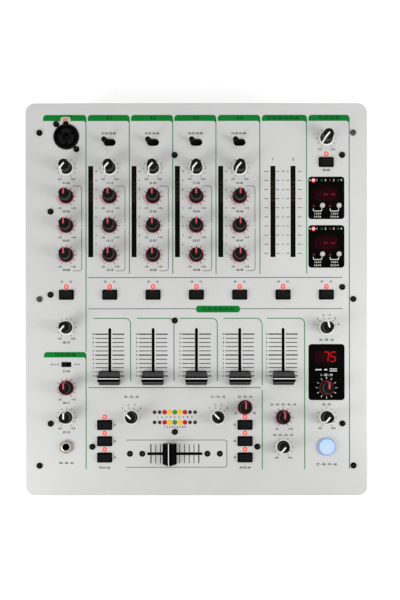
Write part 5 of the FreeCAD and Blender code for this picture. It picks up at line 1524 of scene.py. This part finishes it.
@dataclass
class RearSockets:
    """Phono sockets, balanced jacks, earth post, mains inlet and switch frame on the rear wall.

    Attributes:
        columns: x of the phono sockets.
        rows: z of the red and the white phono sockets.
        jacks_x: x of the balanced jacks; the earth post is under the first.
    """

    columns: tuple[float, ...] = tuple(-90.0 + 15.0 * k for k in range(11))
    rows: tuple[float, float] = (39.0, 55.0)
    jacks_x: tuple[float, float] = (95.0, 117.0)

    def out(self, shell: Shell, spots: list[Spot]) -> Shell:
        """Copies of an upright shell that point out of the rear wall at (x, z) spots."""
        return shell.at(turn=about(Axis.X, -90)).copies(np.array([(x, REAR_WALL, z) for x, z in spots]))

    def phonos(self) -> Parts:
        """Nickel barrels with rolled ends on black collars, each with a coloured lining and a dark bore.

        Returns:
            Their parts.
        """
        barrel = turned([(3.5, 1.4), (4.15, 1.4), (4.15, 9.7), (4.0, 10.3), (3.8, 10.5), (3.5, 10.4)], 32,
                        (0, 0, 0, 0.6, 0.8, 0.3), True)
        collar = turned([(0.5, -6.0), (4.15, -6.0), (4.15, 0.0), (5.6, 0.0), (5.6, 1.2), (5.3, 1.5), (0.5, 1.5)],
                        32)
        lining = turned([(1.7, 1.4), (3.5, 1.4), (3.5, 9.9), (3.3, 10.1), (1.9, 10.1), (1.7, 9.9)], 32, closed=True)
        every = [(x, z) for x in self.columns for z in self.rows]
        return [(NICKEL, self.out(barrel, every)), (BLACK_GLOSS, self.out(collar, every)),
                *((finish, self.out(lining, [(x, z) for x in self.columns]))
                  for finish, z in zip((RED_TRIM, WHITE_TRIM), self.rows))]

    def jacks(self) -> Parts:
        """Balanced jacks: a stepped black ring round a nickel sleeve and a deep bore; and a knurled earth post.

        Returns:
            Their parts.
        """
        ring = turned([(3.6, -0.05), (6.5, 0.0), (6.5, 2.2), (6.2, 2.8), (5.6, 3.0), (3.6, 3.0)], 48,
                      (0, 0, 0.3, 0.8, 0.6, 0), True)
        sleeve = turned([(3.25, -12.0), (3.6, -12.0), (3.6, 2.9), (3.45, 3.05), (3.25, 2.9)], 40, closed=True)
        tail = turned([(0.5, -22.5), (4.5, -22.5), (4.5, 0.0), (3.6, 0.0), (3.6, -21.0), (0.5, -21.0)], 40)
        post = turned([(0.5, -1.5), (3.0, -1.5), (3.0, 0.0), (5.6, 0.0), (5.6, 1.3), (5.4, 1.5), (3.0, 1.5),
                       (3.0, 2.2), (5.0, 2.2), (5.3, 2.5), (5.3, 6.2), (5.0, 6.5), (2.6, 6.5), (2.6, 7.7),
                       (2.3, 8.0), (0.5, 8.0)], 72,
                      flute=(0, 0, 0, 0, 0, 0, 0, 0, 0.1, 0.35, 0.35, 0.1, 0, 0, 0, 0), flutes=24)
        spots = [(x, 47.0) for x in self.jacks_x]
        return [(BLACK_GLOSS, self.out(ring, spots)), (NICKEL, self.out(sleeve, spots)),
                (PLAIN_BLACK, self.out(tail, spots)), (NICKEL, self.out(post, [(self.jacks_x[0], 25.0)]))]

    def well(self, flange: Triple, mouth: Triple, lip: float, floor: float,
             tail: float) -> Shell:
        """A flanged box with a deep mouth: rounded outlines carried out, over the lip and back into the mouth.

        Args:
            flange: width, depth and corner of the flange.
            mouth: width, depth and corner of the mouth.
            lip: height of the flange.
            floor: depth of the mouth's floor.
            tail: depth of the box behind the wall.

        Returns:
            The shell, pointing up.
        """
        wide, inner = rounded(*flange), rounded(*mouth)
        soft = rounded(flange[0] - 0.6, flange[1] - 0.6, flange[2])
        bevel, box = (rounded(mouth[0] + more, mouth[1] + more, mouth[2]) for more in (0.6, 2.8))
        return stacked([box, box, wide, wide, soft, bevel, inner, inner],
                       (tail, 0.0, 0.0, lip - 0.3, lip, lip, lip - 0.3, floor), (0, 0, 0.1, 0.6, 0.5, 0.4, 0.3, 0))

    def mains(self) -> Parts:
        """Mains inlet with its three pins, and the switch frame.

        Returns:
            Their parts.
        """
        inlet = self.well((32.0, 26.0, 3.0), (23.8, 16.8, 3.5), 2.0, -14.0, -18.0)
        switch = self.well((25.2, 18.8, 1.5), (18.2, 11.8, 0.8), 1.5, -6.0, -8.0)
        pin = slab(rounded(2.0, 4.0, 0.5), -14.0, -5.0, 0.4)
        pins = [(MAINS_X + side, INLET_Z + up) for side, up in ((-7.0, -2.0), (7.0, -2.0), (0.0, 2.0))]
        return [(BLACK_GLOSS, self.out(inlet, [(MAINS_X, INLET_Z)])),
                (BLACK_GLOSS, self.out(switch, [(MAINS_X, SWITCH_Z)])), (NICKEL, self.out(pin, pins))]

    def marks(self) -> Parts:
        """Plain white numbers over the phono columns and the balanced jacks.

        Returns:
            The numbers as parts.
        """
        spots = [(x, 66.0, str(k)) for k, x in enumerate(self.columns, 1)]
        spots += [(x, 58.0, str(k)) for k, x in enumerate(self.jacks_x, 1)]
        back = about(Axis.Z, 180) @ about(Axis.X, 90)
        return [(WHITE_INK, NUMERALS.place(word, 2.6, 0, 0, -SUNK, INK).at(x, REAR_WALL, z, back))
                for x, z, word in spots]

    def build(self) -> None:
        """Make every rear fitting."""
        for name, parts in (("phono_sockets", self.phonos()), ("line_jacks_and_post", self.jacks()),
                            ("mains_inlet_and_switch_frame", self.mains())):
            put_piece(name, "case", parts, ("sockets",))
        put_piece("rear_numbers", "case", self.marks())


@dataclass
class Feet:
    """Four tapered rubber feet with a screw recess.

    Attributes:
        reach: x of the right feet.
        rows: y of the front and the rear feet.
    """

    reach: float = 126.0
    rows: tuple[float, float] = (-147.0, 135.5)

    def build(self) -> None:
        """Turn a foot from its top rim down to the ground ring and up into the recess, with its screw."""
        foot = turned([(0.8, 9.0), (11.0, 9.0), (10.9, 8.0), (9.4, 1.2), (9.0, 0.35), (8.4, 0.0), (6.0, 0.0),
                       (5.2, 0.5), (4.9, 4.5), (0.8, 4.5)], 48, (0, 0, 0, 0.3, 0.8, 1, 1, 0.4, 0, 0))
        screw = turned([(0.6, 4.6), (3.2, 4.6), (3.2, 3.6), (2.7, 3.1), (0.6, 2.9)], 32)
        places = at_height([(x, y) for x in (-self.reach, self.reach) for y in self.rows], 0.0)
        put_piece("rubber_feet.dressed", "case", [(RUBBER, foot.copies(places)), (STEEL, screw.copies(places))],
                  ("rubber_feet",))


@dataclass
class Lamps:
    """Lit red lamps over the keys and the two rows of tempo lamps, on their light pipes.

    Attributes:
        radius: lens radius.
        rise: height of the lens over the plate.
        rim: width of the red lamps' thin rim.
        behind: distance of a key's lamp behind its middle.
        step: distance between tempo lamps.
    """

    radius: float = 1.6
    rise: float = 0.8
    rim: float = 0.6
    behind: float = 7.6
    step: float = 4.73

    TEMPO_ROWS = (-105.6, -115.1)
    TEMPO = (TEMPO_DARK, TEMPO_DARK, TEMPO_RED, TEMPO_AMBER, TEMPO_GREEN, TEMPO_AMBER, TEMPO_RED, TEMPO_DARK,
             TEMPO_DARK)

    def lens(self, flange: float) -> Shell:
        """Dome on a pipe: height follows a circle, and the glow grows towards the middle.

        Args:
            flange: how far a thin rim lies out over the plate.

        Returns:
            The lens, with the plate at z = 0.
        """
        share = np.array((0.97, 0.88, 0.72, 0.5, 0.28, 0.1))
        edge = self.radius + flange
        foot = [(0.4, -15.0), (self.radius, -15.0), (self.radius, 0.0)]
        if flange:
            foot += [(edge, 0.0), (edge, 0.1), (edge - 0.15, 0.18), (self.radius + 0.05, 0.2)]
        dome = np.stack((self.radius * share, self.rise * np.sqrt(1 - share ** 2)), -1)
        return turned([*foot, *dome], 28, (0.0,) * len(foot) + (*np.clip(1.15 - 1.15 * share, 0, 1) ** 0.8,))

    def build(self) -> None:
        """Place the lamps by colour; the red ones have a rim, and light the plate round them."""
        red = at_height([(x, y + self.behind) for x, y in KEY_SPOTS + KILL_SPOTS])
        spill = turned([(0.3, -SUNK), (5.8, -SUNK), (5.8, 0.012), (4.6, 0.014), (3.2, 0.016), (1.6, 0.018)], 32,
                       (0, 0, 0, 0.2, 0.6, 1.0)).stretched(1, 0.47)
        parts = [(RED_LAMP, self.lens(self.rim).copies(red)), (LAMP_SPILL, spill.copies(red))]
        put_piece("red_lamps", "case", parts, ("indicator_lamps",))
        parts = []
        for finish, rim in ((TEMPO_RED, 0.6), (TEMPO_AMBER, 0.9), (TEMPO_GREEN, 0.6), (TEMPO_DARK, 0.0)):
            spots = [(CROSS_X + self.step * (k - 4), y) for y in self.TEMPO_ROWS
                     for k, colour in enumerate(self.TEMPO) if colour is finish]
            parts.append((finish, self.lens(rim).copies(at_height(spots))))
        put_piece("tempo_lamps", "case", parts, ("indicator_lamps",))


@dataclass
class Displays:
    """What shows in the windows and meters: dots, digits, dashes, brackets, ticks and unlit bars.

    Attributes:
        wide: distance between a digit's upright segments.
        tall: distance between its top and bottom segments.
        slant: sideways lean of the digits for each millimetre of height.
        thick: width of a digit's segments.
        gap: space at the ends of a segment.
    """

    wide: float = 4.6
    tall: float = 8.8
    slant: float = 0.12
    thick: float = 0.9
    gap: float = 0.3

    def segments(self, x: float, y: float, on: str) -> Shell:
        """Bars of a seven segment digit: each runs between two of six corner points, leaning by slant.

        Args:
            x: centre.
            y: centre.
            on: letters a to g of the segments that are drawn.

        Returns:
            The bars as one shell.
        """
        w, h, gap = self.wide / 2, self.tall / 2, self.gap
        table = {"a": (-w + gap, h, w - gap, h), "b": (w, h - gap, w, gap), "c": (w, -gap, w, -h + gap),
                 "d": (-w + gap, -h, w - gap, -h), "e": (-w, -gap, -w, -h + gap), "f": (-w, h - gap, -w, gap),
                 "g": (-w + gap, 0, w - gap, 0)}
        lines = np.array([table[letter] for letter in on])
        lines[:, [0, 2]] += lines[:, [1, 3]] * self.slant
        return strips(lines + (x, y, x, y), self.thick)

    def dots(self, spots: list[Spot], radius: float, lift: float = 0.0) -> Shell:
        """Round flat dots with a little crown, lifted from the window."""
        dot = turned([(0.2, -SUNK), (radius, -SUNK), (radius, 0.03), (radius * 0.6, 0.08), (0.1, 0.1)], 20,
                     (0, 0, 0, 0.7, 1.0))
        return dot.copies(at_height(spots, PLATE + lift))

    def haze(self, x: float, y: float, wide: float, deep: float) -> Shell:
        """Red light in a window behind its digits, fading outwards over an ellipse.

        Args:
            x: centre.
            y: centre.
            wide: half its width.
            deep: half its depth.

        Returns:
            A thin disc on the window.
        """
        disc = turned([(0.1, -SUNK), (1.0, -SUNK), (1.0, 0.006), (0.85, 0.008), (0.6, 0.012), (0.3, 0.016),
                       (0.05, 0.02)], 48, (0, 0, 0, 0.15, 0.55, 0.9, 1.0))
        return disc.stretched(wide, deep).at(x, y, PLATE)

    def beat_window(self, y: float) -> Parts:
        """Dots, dashes, digits and brackets of one beat window.

        Args:
            y: middle of the window.

        Returns:
            Their parts.
        """
        x, row, line = EFFECTS_X, y + 16.5, y + 3.3
        parts = [(RED_FILM, self.haze(x - 0.4, y + 3.0, 14.5, 10.5)),
                 (DIM_HALO, self.dots([(x - 0.6, y + 3.0), (x + 6.4, y + 3.0)], 3.1, -0.05)),
                 (RED_HALO, self.dots([(x - 12.0, row)], 2.7)),
                 (LED_CORE, self.dots([(x - 12.0, row)], 1.45, 0.06)),
                 (WHITE_INK, slab(np.array(((-16.2, 0.0), (-14.9, -0.9), (-14.9, 0.9))) + (x, row)))]
        for lit, halo, spots in ((LED_OFF_RED, DIM_HALO, ((3.5, 16.5), (-11.7, -7.7), (3.5, -7.7))),
                                 (LED_OFF_GREEN, GREEN_HALO, ((-4.2, 16.5), (11.1, 16.5)))):
            spots = [(x + a, y + b) for a, b in spots]
            parts += [(halo, self.dots(spots, 2.0, -0.06)), (lit, self.dots(spots, 0.95, 0.03))]
        parts += [(WHITE_INK, NUMERALS.place(str(k), 1.9, x + dx, row))
                  for k, dx in enumerate((-8.8, -0.8, 7.0, 14.0), 1)]
        parts.append((DIGIT_OFF, self.segments(x - 7.6, line, "abcdefg")))
        for dx in (-0.6, 6.4):
            parts += [(DIGIT_OFF, self.segments(x + dx, line, "abcdef")),
                      (DASH_RED, self.segments(x + dx, line, "g"))]
        for words, left in ((("1-2-3-4", "5-6-7-8"), x - 12.1), (("1-2-3-4", "10-12-14"), x + 3.6)):
            right, top, low = left + 7.8, y - 10.0, y - 12.3
            path = np.vstack((((left, top),), arc(left + 0.8, low + 0.8, 0.8, 180, 270, 5),
                              arc(right - 0.8, low + 0.8, 0.8, 270, 360, 5), ((right, top),)))
            parts.append((WHITE_INK, ribbon(path, 0.7)))
            parts += [(WHITE_INK, NUMERALS.place(word, 1.5, left + 3.9, y - drop))
                      for word, drop in zip(words, (14.8, 17.7))]
        return parts

    def effects_window(self) -> Parts:
        """The two lit digits, the unlit one, plain marks and the ticks round the program knob.

        Returns:
            Their parts.
        """
        x, y = EFFECTS_X, -53.9
        parts = [(RED_FILM, self.haze(x - 0.6, y, 14.5, 9.5))]
        for finish, digits in ((DIGIT_OFF, ((-7.4, "abcdefg"), (-0.6, "defg"), (6.1, "be"))),
                               (DIGIT_RED, ((-0.6, "abc"), (6.1, "acdfg")))):
            parts += [(finish, self.segments(x + dx, y, on)) for dx, on in digits]
        marks = [(x + left, up, x + right, up) for left, right, up in
                 ((-10.4, -4.6, -66.0), (-2.0, 0.6, -66.0), (3.0, 9.8, -65.3), (3.0, 9.8, -67.2))]
        return parts + [(WHITE_INK, strips(marks, (1.1, 1.3, 0.8, 0.8))),
                        (WHITE_INK, NUMERALS.place("1 - 50 - 99", 1.9, x, -71.0)),
                        (WHITE_INK, strips(spokes(x, MIX_Y, np.arange(12) * 30.0, 8.1, 10.2), 0.55))]

    def bars(self) -> Parts:
        """Unlit steps of the six level meters: twenty in each, by colour.

        Returns:
            The steps as parts.
        """
        steps = np.linspace(METER_Y + 40.0, METER_Y - 40.0, 20)
        columns = (*(x - 17.7 for x in CHANNELS), MASTER_X - 9.4, MASTER_X + 9.4)
        return [(finish, strips([(x - 1.7, y, x + 1.7, y) for x in columns for y in chosen], 3.2, INK_LOW,
                                PLATE + INK * 0.6))
                for finish, chosen in ((BAR_RED, steps[:3]), (BAR_AMBER, steps[3:8]), (BAR_GREEN, steps[8:]))]

    def build(self) -> None:
        """Put it all in one piece that lies on the windows."""
        parts = [part for y in WINDOW_Y for part in self.beat_window(y)]
        put_piece("display_marks", "case", parts + self.effects_window() + self.bars())


# Studio


@dataclass
class Studio:
    """Camera straight over the mixer, a pale floor, two soft lamps at the front and an even sky.

    Attributes:
        eye: camera, in metres.
        turn: its turn from straight down, in radians.
        lens: focal length in millimetres.
        shift: shift of the frame to the right and towards the rear.
        lamps: place in metres, watts and size in metres of each lamp.
        aim: place in metres that the lamps face.
        sky: strength of the even light.
        reach: half the floor's width, in metres.
        pale: the floor's grey.
        lift: light that the floor gives where it is seen.
    """

    eye: Triple = (0.0037, -0.07, 0.77)
    turn: Triple = (0.00162, 0.0, -0.00088)
    lens: float = 43.8
    shift: tuple[float, float] = (-0.00071, 0.12145)
    lamps: tuple = (((-0.5, -0.3, 0.45), 2.2, 0.3), ((0.5, -0.1, 0.45), 2.15, 0.3))
    aim: Triple = (0.1, 0.6, PLATE * MM)
    sky: float = 0.59
    reach: float = 6.0
    pale: float = 0.86
    lift: float = 0.55

    WHITE = (1.0, 1.0, 1.0, 1.0)

    def camera(self) -> None:
        """Point the camera straight down, with the rear of the mixer at the top of the frame."""
        data = bpy.data.cameras.new("camera")
        data.lens, (data.shift_x, data.shift_y) = self.lens, self.shift
        data.clip_start, data.clip_end = 0.01, 50.0
        eye = bpy.data.objects.new("camera", data)
        eye.location, eye.rotation_euler = self.eye, self.turn
        bpy.context.scene.collection.objects.link(eye)
        bpy.context.scene.camera = eye

    def light(self) -> None:
        """Place the two square lamps and let them face the rear, so that the front isn't the brighter."""
        for number, (place, watts, size) in enumerate(self.lamps, 1):
            data = bpy.data.lights.new(f"lamp_{number}", "AREA")
            data.energy, data.size = watts, size
            lamp = bpy.data.objects.new(f"lamp_{number}", data)
            lamp.location = place
            way = Vector(self.aim) - lamp.location
            lamp.rotation_euler = way.to_track_quat("-Z", "Y").to_euler()
            bpy.context.scene.collection.objects.link(lamp)

    def seen(self, tree: Tree, ends: tuple[float, float]) -> Socket:
        """The first value for light that falls on the object, the second for camera, mirror and glass rays.

        Args:
            tree: node tree of the floor or the sky.
            ends: the two values.

        Returns:
            The socket that gives the value.
        """
        path = wire(tree, "ShaderNodeLightPath").outputs
        either = math_node(tree, "MAXIMUM", path["Is Camera Ray"], path["Is Glossy Ray"])
        return span(tree, math_node(tree, "MAXIMUM", either, path["Is Transmission Ray"]), (0.0, 1.0, *ends))

    def air(self) -> None:
        """World: white where it is seen, and an even grey light elsewhere."""
        world = bpy.data.worlds.new("studio")
        world.use_nodes = True
        tree = world.node_tree
        feed(tree, tree.nodes["Background"], {"Color": self.WHITE, "Strength": self.seen(tree, (self.sky, 1.0))})
        bpy.context.scene.world = world

    def floor(self) -> None:
        """A wide pale floor that keeps the shadow and is lifted to white where it is seen."""
        mesh = bpy.data.meshes.new("floor")
        mesh.from_pydata([(x * self.reach, y * self.reach, 0) for x, y in ((-1, -1), (1, -1), (1, 1), (-1, 1))], (),
                         ((0, 1, 2, 3),))
        material = bpy.data.materials.new("pale_floor")
        material.use_nodes = True
        tree = material.node_tree
        feed(tree, tree.nodes["Principled BSDF"],
             {"Base Color": (self.pale, self.pale, self.pale, 1.0), "Roughness": 0.9, "Specular IOR Level": 0.0,
              "Emission Color": self.WHITE, "Emission Strength": self.seen(tree, (0.0, self.lift))})
        mesh.materials.append(material)
        floor = bpy.data.objects.new("floor", mesh)
        bpy.context.scene.collection.objects.link(floor)

    def build(self) -> None:
        """Set the scene's view and make everything round the object."""
        bpy.context.scene.view_settings.view_transform = "Standard"
        self.camera()
        self.light()
        self.air()
        self.floor()


def main() -> None:
    """Dress the carried nodes and build the classes in order, then the plate's print and the studio."""
    logging.basicConfig(level=logging.INFO, format="%(name)s: %(message)s")
    for node, finish in CARRIED.items():
        dress(node, finish)
    knobs = knob_list()
    keys = [KeyBank("cue_buttons", KEY_SPOTS, True), KeyBank("kill_buttons", KILL_SPOTS), RoundKeys()]
    toggles = [Toggle(f"channel_{k}_toggle", x) for k, x in enumerate(CHANNELS, 1)]
    fixed = [SmallSwitches(), Screws(), TopSockets(), RearSockets(), Feet(), Lamps(), Displays()]
    for part in knobs + fader_list() + keys + toggles + fixed:
        part.build()
    PlatePrint().build(knobs)
    Studio().build()


if __name__ == "__main__":
    main()
